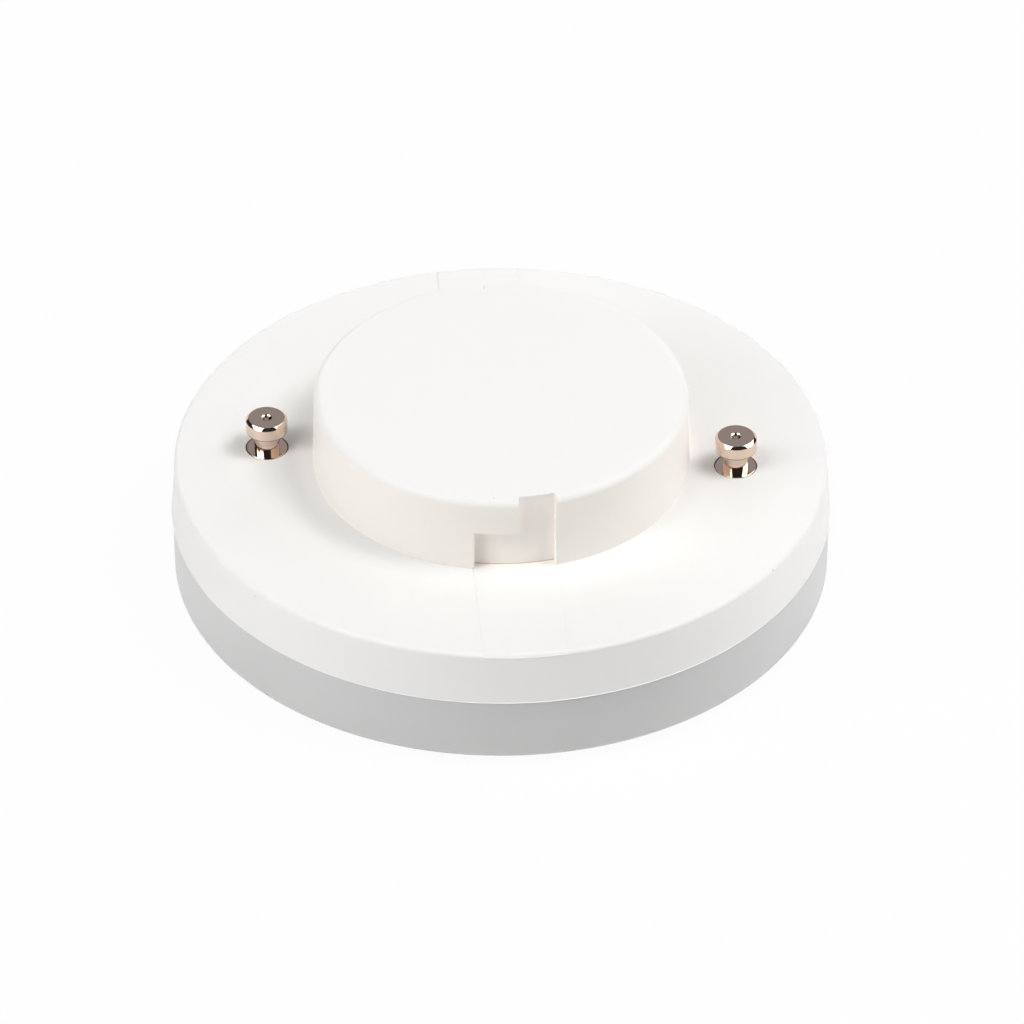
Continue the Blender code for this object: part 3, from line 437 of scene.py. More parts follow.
def make_boss():
    """The boss as a solid that reaches into the face, with both keyways cut and their arrises broken."""
    root = Z_FACE - WALL / 2
    foot = BOSS_RADIUS + BOSS_DRAFT
    profile = [(0, Z_BOSS)]
    centre = (BOSS_RADIUS - BOSS_FILLET, Z_BOSS - BOSS_FILLET)
    profile += arc(centre, (BOSS_FILLET, BOSS_FILLET), 90, 0, FILLET_STEPS)
    profile += [(foot, Z_FACE), (foot, root), (0, root)]
    boss = lathe("boss", profile, ROUND)
    ledge = Z_FACE + SLOT_HEIGHT
    entry = KEYWAY_HALF_WIDTH - ENTRY_WIDTH
    outline = [
        (-KEYWAY_HALF_WIDTH, Z_FACE - WALL),
        (KEYWAY_HALF_WIDTH, Z_FACE - WALL),
        (KEYWAY_HALF_WIDTH, Z_BOSS + WALL),
        (entry, Z_BOSS + WALL),
        (entry, ledge),
        (-KEYWAY_HALF_WIDTH, ledge),
    ]
    cutters = []
    for side in OPPOSITE:
        cutter = upright_prism("keyway", outline, KEYWAY_FLOOR - WALL, foot + WALL)
        combine(cutter, "DIFFERENCE", [keyway_core()])
        soften_corners(cutter)
        cutters.append(around(cutter, KEYWAY_TURN + side))
    combine(boss, "DIFFERENCE", cutters)
    break_arrises(boss)
    return boss


def keyway_core():
    """What stays of the boss behind its keyways: their floors lean as the boss's wall does."""
    over = Z_BOSS + 2 * WALL
    under = Z_FACE - 2 * WALL
    lean = BOSS_DRAFT / (Z_BOSS - Z_FACE)
    profile = [
        (0, over),
        (KEYWAY_FLOOR - lean * (over - Z_BOSS), over),
        (KEYWAY_FLOOR + lean * (Z_BOSS - under), under),
        (0, under),
    ]
    return lathe("keyway_core", profile, ROUND)


def soften_corners(cutter):
    """Round the upright corners in which a keyway's floor meets its two outer walls."""
    def in_corner(edge):
        first, second = (corner.co for corner in edge.verts)
        beside = min(abs(first.x), abs(second.x)) > KEYWAY_HALF_WIDTH - MERGE_DISTANCE
        on_floor = max(abs(first.y), abs(second.y)) < KEYWAY_FLOOR + BOSS_DRAFT
        return beside and on_floor and abs(first.z - second.z) > WALL

    round_edges(cutter, in_corner, KEYWAY_FILLET, KEYWAY_FILLET_STEPS)


def break_arrises(boss):
    """A fine rounding on the sharp outward edges of both keyways."""
    back = Matrix.Rotation(-KEYWAY_TURN, 3, "Z")
    reach = KEYWAY_HALF_WIDTH + ARRIS

    def on_keyway(edge):
        if len(edge.link_faces) != 2 or edge.calc_face_angle_signed() < ARRIS_ANGLE:
            return False
        middle = back @ ((edge.verts[0].co + edge.verts[1].co) / 2)
        beside = abs(middle.x) < reach and abs(middle.y) > KEYWAY_FLOOR / 2
        return beside and middle.z > Z_FACE - ARRIS

    round_edges(boss, on_keyway, ARRIS, ARRIS_STEPS)


def rim_bands():
    """The stretch of rim in line with each keyway, which slopes down to a lip in place of the full round."""
    inner = SKIRT_RADIUS - BAND_REACH
    top = Z_FACE + BAND_STEP
    outer = SKIRT_RADIUS + LIP_OVERHANG
    low = top - LIP_DROP
    bend = RIM_FILLET * math.cos(math.radians(45))
    slope = LIP_DROP - RIM_FILLET + bend
    centre = (outer - slope - bend, top - RIM_FILLET)
    profile = [(inner, top)] + arc(centre, (RIM_FILLET, RIM_FILLET), 90, 45, FILLET_STEPS // 2)
    profile += [(outer, low), (outer - BAND_REACH / 2, low - BAND_REACH / 2), (inner, low - BAND_REACH / 2)]
    flash_profile = [
        (outer - FLASH_SIZE, low),
        (outer + FLASH_SIZE / 2, low),
        (outer + FLASH_SIZE / 2, low + FLASH_SIZE),
        (outer - FLASH_SIZE, low + FLASH_SIZE),
    ]
    made = []
    for side in OPPOSITE:
        made.append(slice_ring("rim_band", profile, (-BAND_HALF_WIDTH, BAND_HALF_WIDTH), side))
    for stretch in FLASH_STRETCHES:
        made.append(slice_ring("flash", flash_profile, stretch, 0))
    return made


def slice_ring(name, profile, span, side):
    """The part of a turned ring that lies in line with a keyway, between two offsets from its middle."""
    ring = lathe(name, profile, ROUND)
    low = (span[0], -SKIRT_FOOT - WALL, Z_JOINT)
    high = (span[1], -SKIRT_BORE / 2, Z_FACE + WALL)
    window = block("window", low, high)
    return combine(ring, "INTERSECT", [around(window, KEYWAY_TURN + side)])


def keyway_pads():
    half = KEYWAY_HALF_WIDTH + WALL
    bottom = Z_FACE_INSIDE - RIB_HEIGHT
    top = Z_CEILING + OVERLAP
    pads = []
    for side in OPPOSITE:
        pad = block("keyway_pad", (-half, -BOSS_RADIUS, bottom), (half, -PAD_PLANE, top))
        limit = rod("pad_limit", BOSS_BORE + OVERLAP / 2, bottom - WALL, top + WALL, ROUND)
        pads.append(around(combine(pad, "INTERSECT", [limit]), KEYWAY_TURN + side))
    return pads


def board_stops():
    half = BOARD_STOP_THICKNESS / 2
    low = (BOARD_RADIUS - BOARD_STOP_THICKNESS, -half, Z_BOARD_TOP)
    high = (BOSS_BORE + OVERLAP, half, Z_CEILING + OVERLAP)
    return [around(block("board_stop", low, high), angle) for angle in even_angles(HOOK_START, HOOK_COUNT)]


def ribs_and_posts():
    half = RIB_THICKNESS / 2
    low = (BOSS_RADIUS, -half, Z_FACE_INSIDE - RIB_HEIGHT)
    high = (SKIRT_BORE + OVERLAP, half, Z_FACE_INSIDE + OVERLAP)
    made = []
    for angle in even_angles(SCREW_START, SCREW_COUNT * 2):
        made.append(around(block("rib", low, high), angle))
    for angle in even_angles(SCREW_START, SCREW_COUNT):
        post = rod("post", POST_RADIUS, Z_SPREADER_TOP, Z_FACE_INSIDE + OVERLAP, INNER_ROUND)
        made.append(around(post, angle, SCREW_CIRCLE))
    return made


def pin_pads():
    radius = PIN_FLANGE_RADIUS + PIN_PAD_MARGIN
    pads = []
    for side in OPPOSITE:
        pad = rod("pin_pad", radius, Z_TAG_TOP, Z_FACE_INSIDE + OVERLAP, INNER_ROUND)
        pads.append(around(pad, side, PIN_OFFSET))
    return pads


def pin_seats():
    made = []
    for side in OPPOSITE:
        radius = PIN_FLANGE_RADIUS + FLANGE_FIT
        seat = rod("pin_seat", radius, Z_FACE - PIN_FLANGE_THICKNESS, Z_FACE + WALL, PIN_ROUND)
        bore = rod("pin_bore", PIN_SHANK_RADIUS + FIT, Z_TAG, Z_FACE, PIN_ROUND)
        made += [around(seat, side, PIN_OFFSET), around(bore, side, PIN_OFFSET)]
    return made


def screw_pilots():
    made = []
    for angle in even_angles(SCREW_START, SCREW_COUNT):
        pilot = rod("pilot", SCREW_RADIUS + FIT, Z_SPREADER, Z_FACE - POST_FLOOR, INNER_ROUND)
        made.append(around(pilot, angle, SCREW_CIRCLE))
    return made


def hook_pockets():
    half = HOOK_WIDTH / 2 + FIT
    low = (HOOK_INSIDE, -half, Z_HOOK_TOP - HOOK_NOSE_HEIGHT - HOOK_PLAY)
    high = (HOOK_OUTSIDE + HOOK_NOSE + POCKET_CLEARANCE, half, Z_HOOK_TOP + HOOK_PLAY)
    return [around(block("hook_pocket", low, high), angle) for angle in even_angles(HOOK_START, HOOK_COUNT)]


def parting_lines():
    """Fine grooves in the face from the boss to the rim, along both sides of each band."""
    half = LINE_WIDTH / 2
    made = []
    for side, depths in zip(OPPOSITE, LINE_DEPTHS):
        for edge, depth in zip((-BAND_HALF_WIDTH, BAND_HALF_WIDTH), depths):
            low = (edge - half, -SKIRT_RADIUS, Z_FACE - depth)
            high = (edge + half, -BOSS_RADIUS + WALL, Z_FACE + depth)
            made.append(around(block("parting_line", low, high), KEYWAY_TURN + side))
    return made


# Diffuser

def make_diffuser():
    """The opal dish, its lap and its four snap hooks."""
    edge = (DIFFUSER_EDGE_REACH, DIFFUSER_EDGE_DROP)
    inner_edge = (DIFFUSER_EDGE_REACH - 2 * DIFFUSER_WALL, DIFFUSER_EDGE_DROP)
    foot = DIFFUSER_RADIUS - DIFFUSER_DRAFT
    inner_centre = (foot - DIFFUSER_WALL - inner_edge[0], DIFFUSER_WALL + inner_edge[1])
    profile = [(0, DIFFUSER_WALL)]
    profile += arc(inner_centre, inner_edge, -90, 0, EDGE_STEPS)
    profile += [
        (DIFFUSER_BORE, Z_JOINT),
        (DIFFUSER_BORE, Z_JOINT + LAP_HEIGHT),
        (REBATE_RADIUS - FIT, Z_JOINT + LAP_HEIGHT),
        (REBATE_RADIUS - FIT, Z_JOINT),
        (DIFFUSER_RADIUS, Z_JOINT),
    ]
    profile += arc((foot - edge[0], edge[1]), edge, 0, -90, EDGE_STEPS)
    profile += [(0, 0)]
    diffuser = lathe("diffuser_dish", profile, ROUND)
    combine(diffuser, "UNION", [make_hook(angle) for angle in even_angles(HOOK_START, HOOK_COUNT)])
    return polish(diffuser)


def make_hook(angle):
    root = Z_JOINT - HOOK_ROOT
    shoulder = Z_JOINT + LAP_HEIGHT - OVERLAP
    catch = Z_HOOK_TOP - HOOK_NOSE_HEIGHT
    outline = [
        (HOOK_INSIDE, root),
        (DIFFUSER_BORE + OVERLAP, root),
        (DIFFUSER_BORE + OVERLAP, shoulder),
        (HOOK_OUTSIDE, shoulder),
        (HOOK_OUTSIDE, catch),
        (HOOK_OUTSIDE + HOOK_NOSE, catch),
        (HOOK_OUTSIDE + HOOK_NOSE, catch + HOOK_NOSE_HEIGHT / 3),
        (HOOK_OUTSIDE, Z_HOOK_TOP),
        (HOOK_INSIDE, Z_HOOK_TOP),
    ]
    return around(upright_prism("hook", outline, -HOOK_WIDTH / 2, HOOK_WIDTH / 2), angle)


# Contact pins

def make_pin(name, side):
    """A turned pin: dimpled and chamfered head, neck, flange let into the face, shank and riveted tail."""
    head_foot = Z_PIN_TOP - PIN_HEAD_HEIGHT
    flange_foot = Z_FACE - PIN_FLANGE_THICKNESS
    corners = [
        (0, Z_PIN_TOP - PIN_DIMPLE_DEPTH, 0),
        (PIN_DIMPLE_FLOOR, Z_PIN_TOP - PIN_DIMPLE_DEPTH, PIN_EDGE),
        (PIN_DIMPLE_RADIUS, Z_PIN_TOP, PIN_EDGE),
        (PIN_HEAD_RADIUS - PIN_HEAD_CHAMFER, Z_PIN_TOP, PIN_EDGE),
        (PIN_HEAD_RADIUS, Z_PIN_TOP - PIN_HEAD_CHAMFER, PIN_EDGE),
        (PIN_HEAD_RADIUS, head_foot, PIN_EDGE * 2),
        (PIN_NECK_RADIUS, head_foot, 0),
        (PIN_NECK_RADIUS, Z_FACE, 0),
        (PIN_FLANGE_RADIUS, Z_FACE, PIN_FLANGE_EDGE),
        (PIN_FLANGE_RADIUS, flange_foot, 0),
        (PIN_SHANK_RADIUS, flange_foot, 0),
        (PIN_SHANK_RADIUS, Z_TAG_TOP, 0),
        (PIN_TAIL_RADIUS, Z_TAG_TOP, 0),
        (PIN_TAIL_RADIUS, Z_TAG, 0),
        (PIN_RIVET_RADIUS, Z_TAG, 0),
        (PIN_RIVET_RADIUS, Z_RIVET, PIN_EDGE * 2),
        (0, Z_RIVET, 0),
    ]
    pin = lathe(name, rounded(corners, CORNER_STEPS), PIN_ROUND)
    return polish(around(pin, side, PIN_OFFSET))


# Materials

# How soft the borders of the coloured zones are
SHARP_EDGE = 0.00002
FINE_EDGE = 0.00005
NECK_EDGE = 0.0001
SHADE_EDGE = 0.0003
BOSS_FADE = BOSS_FILLET * 0.8
KEYWAY_FADE = KEYWAY_DEPTH * 0.7

# Where the zones that follow no edge of a form start and end: the boss's painted bounce above the face, the
# painted shade up a keyway's foot and down a pin's seat, and the painted shade up a pin's neck
FACE_MARGIN = 0.00002
FOOT_SHADE_HEIGHT = 0.00008
FOOT_SHADE_EDGE = 0.00006
SEAT_SHADE_DROP = 0.00004
NECK_SHADE_START = 0.0012

# Relief of the finishes
PLASTIC_GRAIN = 0.000003
DIFFUSER_GRAIN = 0.000002
INNER_GRAIN = 0.000004
TOOL_MARK_DEPTH = 0.000001
WINDING_RELIEF = 0.00004

# Inner finishes: how far the sheen varies, and how much finer the grain is than the clouds
SHEEN_SPREAD = 0.15
GRAIN_FINENESS = 8

# How far a face's normal points down where an LED's phosphor window starts and where it is full
WINDOW_START = -0.6
WINDOW_FULL = -0.9

# Colours laid over the white moulding and the plated pins: all but the specks' brown are painted light and
# shade
BOSS_PAINTED_BOUNCE = (0.933, 0.893, 0.851)
KEYWAY_PAINTED_LIGHT = (0.97, 0.925, 0.88)
KEYWAY_FOOT_PAINTED_SHADE = (0.7, 0.62, 0.54)
SEAT_PAINTED_SHADE = (0.3, 0.25, 0.2)
SPECK_BROWN = (0.42, 0.26, 0.14)
DIMPLE_PAINTED_SHADE = (0.05, 0.035, 0.03)
NECK_SHADE = (0.66, 0.52, 0.42)
HEAD_FOOT_SHADE = (0.36, 0.25, 0.19)

# Shares of a speck's radius at which its full tone and its soft border end
SPECK_CORE = 0.4
SPECK_BORDER = 1.6

# Finish of each slot that only inner nodes use: dark tone, light tone, cloud scale, roughness and metallic
INNER_FINISHES = {
    "tinned_brass": ((0.6, 0.57, 0.5), (0.74, 0.72, 0.68), 900.0, 0.3, 1.0),
    "natural_nylon": ((0.76, 0.75, 0.7), (0.82, 0.81, 0.76), 150.0, 0.5, 0.0),
    "aluminium": ((0.74, 0.75, 0.76), (0.84, 0.85, 0.86), 300.0, 0.35, 1.0),
    "white_mask": ((0.85, 0.85, 0.83), (0.9, 0.9, 0.88), 200.0, 0.35, 0.0),
    "board_laminate": ((0.05, 0.2, 0.07), (0.1, 0.32, 0.12), 500.0, 0.4, 0.0),
    "capacitor_sleeve": ((0.02, 0.035, 0.09), (0.04, 0.06, 0.14), 400.0, 0.35, 0.0),
    "yellow_case": ((0.7, 0.45, 0.04), (0.8, 0.54, 0.07), 500.0, 0.4, 0.0),
    "green_lacquer": ((0.07, 0.24, 0.12), (0.12, 0.33, 0.18), 900.0, 0.42, 0.0),
    "blue_coating": ((0.02, 0.1, 0.36), (0.05, 0.18, 0.5), 700.0, 0.38, 0.0),
    "black_epoxy": ((0.015, 0.015, 0.017), (0.035, 0.035, 0.037), 1200.0, 0.5, 0.0),
    "red_insulation": ((0.48, 0.02, 0.015), (0.6, 0.04, 0.03), 700.0, 0.45, 0.0),
    "white_insulation": ((0.75, 0.75, 0.73), (0.83, 0.83, 0.81), 700.0, 0.45, 0.0),
    "ferrite": ((0.035, 0.035, 0.04), (0.07, 0.07, 0.075), 1500.0, 0.55, 0.0),
    "zinc_plate": ((0.6, 0.61, 0.62), (0.72, 0.73, 0.74), 1200.0, 0.28, 1.0),
}


def new_material(name, colour, roughness, metallic=0.0):
    """A Principled material, with its node tree and shader to build on."""
    material = bpy.data.materials.new(name)
    material.use_nodes = True
    tree = material.node_tree
    shader = tree.nodes["Principled BSDF"]
    shader.inputs["Base Color"].default_value = (*colour, 1)
    shader.inputs["Roughness"].default_value = roughness
    shader.inputs["Metallic"].default_value = metallic
    return material, tree, shader


def add_node(tree, kind, settings=None, **inputs):
    node = tree.nodes.new(kind)
    for key, value in (settings or {}).items():
        setattr(node, key, value)
    for key, value in inputs.items():
        node.inputs[key.replace("_", " ")].default_value = value
    return node


def object_coordinates(tree):
    return add_node(tree, "ShaderNodeTexCoord").outputs["Object"]


def noise(tree, where, scale, detail=2.0):
    node = add_node(tree, "ShaderNodeTexNoise", Scale=scale, Detail=detail, Roughness=0.5)
    tree.links.new(where, node.inputs["Vector"])
    return node.outputs["Fac"]


def spread(tree, value, low, high):
    """Map 0 to 1 onto a range."""
    node = add_node(tree, "ShaderNodeMapRange")
    node.inputs["To Min"].default_value = low
    node.inputs["To Max"].default_value = high
    tree.links.new(value, node.inputs["Value"])
    return node.outputs["Result"]


def mix_colours(tree, factor, first, second):
    """Mix two colours, each a socket or a plain value, by a socket."""
    node = add_node(tree, "ShaderNodeMix", {"data_type": "RGBA"})
    tree.links.new(factor, node.inputs[0])
    for socket, colour in ((node.inputs[6], first), (node.inputs[7], second)):
        if isinstance(colour, tuple):
            socket.default_value = (*colour, 1)
        else:
            tree.links.new(colour, socket)
    return node.outputs[2]


def between(tree, value, low, high, edge):
    """1 where a value lies between two limits, falling to 0 over a soft edge outside them."""
    rise = add_node(tree, "ShaderNodeMapRange", {"interpolation_type": "SMOOTHSTEP"})
    rise.inputs["From Min"].default_value = low - edge
    rise.inputs["From Max"].default_value = low
    fall = add_node(tree, "ShaderNodeMapRange", {"interpolation_type": "SMOOTHSTEP"})
    fall.inputs["From Min"].default_value = high + edge
    fall.inputs["From Max"].default_value = high
    for node in (rise, fall):
        tree.links.new(value, node.inputs["Value"])
    return both(tree, rise.outputs["Result"], fall.outputs["Result"])


def both(tree, first, second):
    node = add_node(tree, "ShaderNodeMath", {"operation": "MULTIPLY"})
    tree.links.new(first, node.inputs[0])
    tree.links.new(second, node.inputs[1])
    return node.outputs[0]


def add_bump(tree, shader, height, distance):
    bump = add_node(tree, "ShaderNodeBump", Strength=1.0, Distance=distance)
    tree.links.new(height, bump.inputs["Height"])
    tree.links.new(bump.outputs["Normal"], shader.inputs["Normal"])


def speck_colour(tree, where, colour, specks):
    """Lay small soft-edged brown specks over a colour."""
    for place, radius, depth in specks:
        offset = add_node(tree, "ShaderNodeVectorMath", {"operation": "DISTANCE"})
        tree.links.new(where, offset.inputs[0])
        offset.inputs[1].default_value = place
        fade = add_node(tree, "ShaderNodeMapRange")
        fade.inputs["From Min"].default_value = radius * SPECK_CORE
        fade.inputs["From Max"].default_value = radius * SPECK_BORDER
        fade.inputs["To Min"].default_value = depth
        fade.inputs["To Max"].default_value = 0.0
        tree.links.new(offset.outputs["Value"], fade.inputs["Value"])
        colour = mix_colours(tree, fade.outputs["Result"], colour, SPECK_BROWN)
    return colour


def from_axis(tree, where, offset=0.0):
    """Distance from an upright axis at an offset along X, and height."""
    shifted = add_node(tree, "ShaderNodeVectorMath", {"operation": "SUBTRACT"})
    tree.links.new(where, shifted.inputs[0])
    shifted.inputs[1].default_value = (offset, 0, 0)
    level = add_node(tree, "ShaderNodeVectorMath", {"operation": "MULTIPLY"})
    tree.links.new(shifted.outputs["Vector"], level.inputs[0])
    level.inputs[1].default_value = (1, 1, 0)
    reach = add_node(tree, "ShaderNodeVectorMath", {"operation": "LENGTH"})
    tree.links.new(level.outputs["Vector"], reach.inputs[0])
    split = add_node(tree, "ShaderNodeSeparateXYZ")
    tree.links.new(where, split.inputs["Vector"])
    return reach.outputs["Value"], split.outputs["Z"]


def white_plastic():
    """Satin white moulding: a fine spark-eroded grain, faint flow marks and a few specks of dirt.

    The boss's wall is painted a little warmer with the face's bounce light and its keyways' floors a little
    paler with painted light. Painted shade lies along the foot of each keyway and in the pins' seats.
    """
    material, tree, shader = new_material("white_plastic", (0.9, 0.892, 0.876), roughness=0.42)
    shader.inputs["IOR"].default_value = 1.5
    shader.inputs["Specular IOR Level"].default_value = 0.06
    where = object_coordinates(tree)
    flow = noise(tree, where, scale=90.0, detail=3.0)
    colour = mix_colours(tree, flow, (0.895, 0.887, 0.87), (0.905, 0.897, 0.882))
    radius, height = from_axis(tree, where)
    # Painted warm bounce light on the boss's wall, where the face's light falls back on it
    beside = between(tree, height, Z_FACE + FACE_MARGIN, Z_BOSS - BOSS_FILLET, BOSS_FADE)
    wall = between(tree, radius, BOSS_BORE, BOSS_RADIUS + BOSS_DRAFT, FINE_EDGE)
    colour = mix_colours(tree, both(tree, beside, wall), colour, BOSS_PAINTED_BOUNCE)
    # Painted light: the keyways' floors are painted paler and warmer
    floor = between(tree, radius, BOSS_BORE, KEYWAY_FLOOR, KEYWAY_FADE)
    colour = mix_colours(tree, both(tree, beside, floor), colour, KEYWAY_PAINTED_LIGHT)
    # Painted shade in a thin line along the foot of each keyway
    foot = between(tree, height, Z_FACE, Z_FACE + FOOT_SHADE_HEIGHT, FOOT_SHADE_EDGE)
    in_keyway = between(tree, radius, BOSS_BORE, KEYWAY_FLOOR + BOSS_DRAFT, FINE_EDGE)
    colour = mix_colours(tree, both(tree, foot, in_keyway), colour, KEYWAY_FOOT_PAINTED_SHADE)
    # Painted shade on the walls of the pins' seats, round the flanges
    sunk = between(tree, height, Z_FACE_INSIDE, Z_FACE - SEAT_SHADE_DROP, SHARP_EDGE)
    for side in (-1, 1):
        distance = from_axis(tree, where, side * PIN_OFFSET)[0]
        seat = between(tree, distance, 0, PIN_FLANGE_RADIUS + FLANGE_FIT, FINE_EDGE)
        colour = mix_colours(tree, both(tree, sunk, seat), colour, SEAT_PAINTED_SHADE)
    on_rim = Z_FACE - RIM_FILLET / 2
    specks = [(point_on_level(pixel, Z_BOSS), size, depth) for pixel, size, depth in SPECKS_ON_BOSS]
    specks += [(point_on_level(pixel, on_rim), size, depth) for pixel, size, depth in SPECKS_ON_RIM]
    specks += [(point_on_wall(pixel, SKIRT_RADIUS), size, depth) for pixel, size, depth in SPECKS_ON_SKIRT]
    tree.links.new(speck_colour(tree, where, colour, specks), shader.inputs["Base Color"])
    grain = noise(tree, where, scale=5000.0)
    tree.links.new(spread(tree, grain, low=0.38, high=0.46), shader.inputs["Roughness"])
    add_bump(tree, shader, grain, PLASTIC_GRAIN)
    return material


def opal_plastic():
    """Milky translucent dish with a soft skin."""
    material, tree, shader = new_material("opal_plastic", (0.68, 0.675, 0.675), roughness=0.38)
    shader.inputs["IOR"].default_value = 1.55
    shader.inputs["Subsurface Weight"].default_value = 1.0
    shader.inputs["Subsurface Radius"].default_value = (1.0, 1.0, 1.0)
    shader.inputs["Subsurface Scale"].default_value = 0.0008
    where = object_coordinates(tree)
    cloud = noise(tree, where, scale=60.0)
    colour = mix_colours(tree, cloud, (0.67, 0.665, 0.665), (0.69, 0.685, 0.685))
    tree.links.new(colour, shader.inputs["Base Color"])
    grain = noise(tree, where, scale=4000.0)
    tree.links.new(spread(tree, grain, low=0.35, high=0.42), shader.inputs["Roughness"])
    add_bump(tree, shader, grain, DIFFUSER_GRAIN)
    return material


def nickel_plate(name, side):
    """Bright plate over turned brass, with fine tool marks.

    Painted shade darkens the dimple's wall, the upper neck and the head's foot.
    """
    head_foot = Z_PIN_TOP - PIN_HEAD_HEIGHT
    material, tree, shader = new_material(name, (0.755, 0.61, 0.5), roughness=0.06, metallic=1.0)
    where = object_coordinates(tree)
    radius, height = from_axis(tree, where, side * PIN_OFFSET)
    tarnish = noise(tree, where, scale=9000.0, detail=3.0)
    colour = mix_colours(tree, tarnish, (0.68, 0.545, 0.445), (0.82, 0.665, 0.55))
    # Painted shade on the dimple's wall, in place of its dark reflection
    below_top = between(tree, height, Z_PIN_TOP - PIN_DIMPLE_DEPTH, Z_PIN_TOP - PIN_EDGE, PIN_EDGE)
    in_dimple = between(tree, radius, PIN_DIMPLE_FLOOR, PIN_DIMPLE_SHADE_REACH, PIN_EDGE)
    colour = mix_colours(tree, both(tree, below_top, in_dimple), colour, DIMPLE_PAINTED_SHADE)
    shaded = between(tree, height, Z_FACE + NECK_SHADE_START, head_foot, SHADE_EDGE)
    on_neck = between(tree, radius, 0, PIN_NECK_RADIUS, NECK_EDGE)
    colour = mix_colours(tree, both(tree, shaded, on_neck), colour, NECK_SHADE)
    at_foot = between(tree, height, head_foot - PIN_EDGE, head_foot + PIN_EDGE * 3, PIN_EDGE)
    off_neck = between(tree, radius, PIN_NECK_RADIUS + PIN_EDGE, PIN_HEAD_RADIUS, PIN_EDGE)
    colour = mix_colours(tree, both(tree, at_foot, off_neck), colour, HEAD_FOOT_SHADE)
    tree.links.new(colour, shader.inputs["Base Color"])
    tree.links.new(spread(tree, tarnish, low=0.04, high=0.09), shader.inputs["Roughness"])
    along = add_node(tree, "ShaderNodeMath", {"operation": "ADD"})
    tree.links.new(radius, along.inputs[0])
    tree.links.new(height, along.inputs[1])
    marks = add_node(tree, "ShaderNodeTexNoise", {"noise_dimensions": "1D"}, Scale=14000.0, Detail=2.0)
    tree.links.new(along.outputs[0], marks.inputs["W"])
    add_bump(tree, shader, marks.outputs["Fac"], TOOL_MARK_DEPTH)
    return material


def mottled(name, dark, light, scale, roughness, metallic):
    """A plain finish for an inner piece: two close tones in a cloud, a varied sheen and a fine grain."""
    material, tree, shader = new_material(name, light, roughness, metallic)
    where = object_coordinates(tree)
    cloud = noise(tree, where, scale, detail=3.0)
    tree.links.new(mix_colours(tree, cloud, dark, light), shader.inputs["Base Color"])
    sheen = spread(tree, cloud, roughness * (1 - SHEEN_SPREAD), roughness * (1 + SHEEN_SPREAD))
    tree.links.new(sheen, shader.inputs["Roughness"])
    add_bump(tree, shader, noise(tree, where, scale * GRAIN_FINENESS), INNER_GRAIN)
    return material


def copper_winding():
    """Lacquered wire wound close, shown as fine level turns."""
    material, tree, shader = new_material("copper", (0.72, 0.32, 0.16), roughness=0.25, metallic=1.0)
    where = object_coordinates(tree)
    turns = add_node(
        tree, "ShaderNodeTexWave", {"wave_type": "BANDS", "bands_direction": "Z"},
        Scale=1500.0, Distortion=0.3, Detail=1.0,
    )
    tree.links.new(where, turns.inputs["Vector"])
    colour = mix_colours(tree, turns.outputs["Fac"], (0.4, 0.14, 0.06), (0.78, 0.36, 0.18))
    tree.links.new(colour, shader.inputs["Base Color"])
    add_bump(tree, shader, turns.outputs["Fac"], WINDING_RELIEF)
    return material


def led_case():
    """White package with a yellow phosphor window on its underside."""
    material, tree, shader = new_material("led_case", (0.9, 0.88, 0.8), roughness=0.35)
    where = object_coordinates(tree)
    geometry = add_node(tree, "ShaderNodeNewGeometry")
    split = add_node(tree, "ShaderNodeSeparateXYZ")
    tree.links.new(geometry.outputs["Normal"], split.inputs["Vector"])
    under = add_node(tree, "ShaderNodeMapRange")
    under.inputs["From Min"].default_value = WINDOW_START
    under.inputs["From Max"].default_value = WINDOW_FULL
    tree.links.new(split.outputs["Z"], under.inputs["Value"])
    grains = noise(tree, where, scale=6000.0)
    phosphor = mix_colours(tree, grains, (0.85, 0.62, 0.12), (0.95, 0.76, 0.25))
    colour = mix_colours(tree, under.outputs["Result"], (0.9, 0.89, 0.86), phosphor)
    tree.links.new(colour, shader.inputs["Base Color"])
    add_bump(tree, shader, grains, PLASTIC_GRAIN)
    return material


def inner_materials():
    """One finish for each slot that only inner nodes use."""
    finishes = {slot: mottled(slot, *finish) for slot, finish in INNER_FINISHES.items()}
    finishes["copper"] = copper_winding()
    finishes["led_case"] = led_case()
    return finishes


def give(piece, material):
    piece.data.materials.clear()
    piece.data.materials.append(material)


# The object

def dress(piece, node, material):
    """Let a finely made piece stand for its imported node."""
    give(piece, material)
    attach(piece, "root")
    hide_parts(node)


def make_lamp():
    dress(make_housing(), "housing", white_plastic())
    dress(make_diffuser(), "diffuser", opal_plastic())
    for name, side, angle in (("right", 1, 0), ("left", -1, math.pi)):
        pin = make_pin(f"turned_pin_{name}", angle)
        dress(pin, f"contact_pin_{name}", nickel_plate(f"nickel_plate_{name}", side))
    finishes = inner_materials()
    slots = {entry["node"]: entry["material_slot"] for entry in frame["record"]["subparts"]}
    for node, piece in frame["nodes"].items():
        if slots[node] in finishes:
            give(piece, finishes[slots[node]])


# Stage, light and camera

WHITE = (1.0, 1.0, 1.0)
BLACK = (0.0, 0.0, 0.0)
FLOOR_HALF = 2.5
FLOOR_GLOW = 0.96
FLOOR_PAINT = (0.8, 0.8, 0.8)
DOME_RADIUS = 2.2
DOME_CUT = 0.001

# The grey wall that the pins reflect, as a patch of the dome round the set
BACKDROP_AZIMUTH = 176
BACKDROP_ELEVATION = 38
BACKDROP_REACH = 1.0
BACKDROP_EDGE = 1.25
BACKDROP_GREY = 0.345
STUDIO_DARK = 0.03
STUDIO_TINT = (1.01, 0.98, 1.06)

LIGHT_AIM = Vector((0, 0, 0.015))
LIGHT_DISTANCE = 1.0

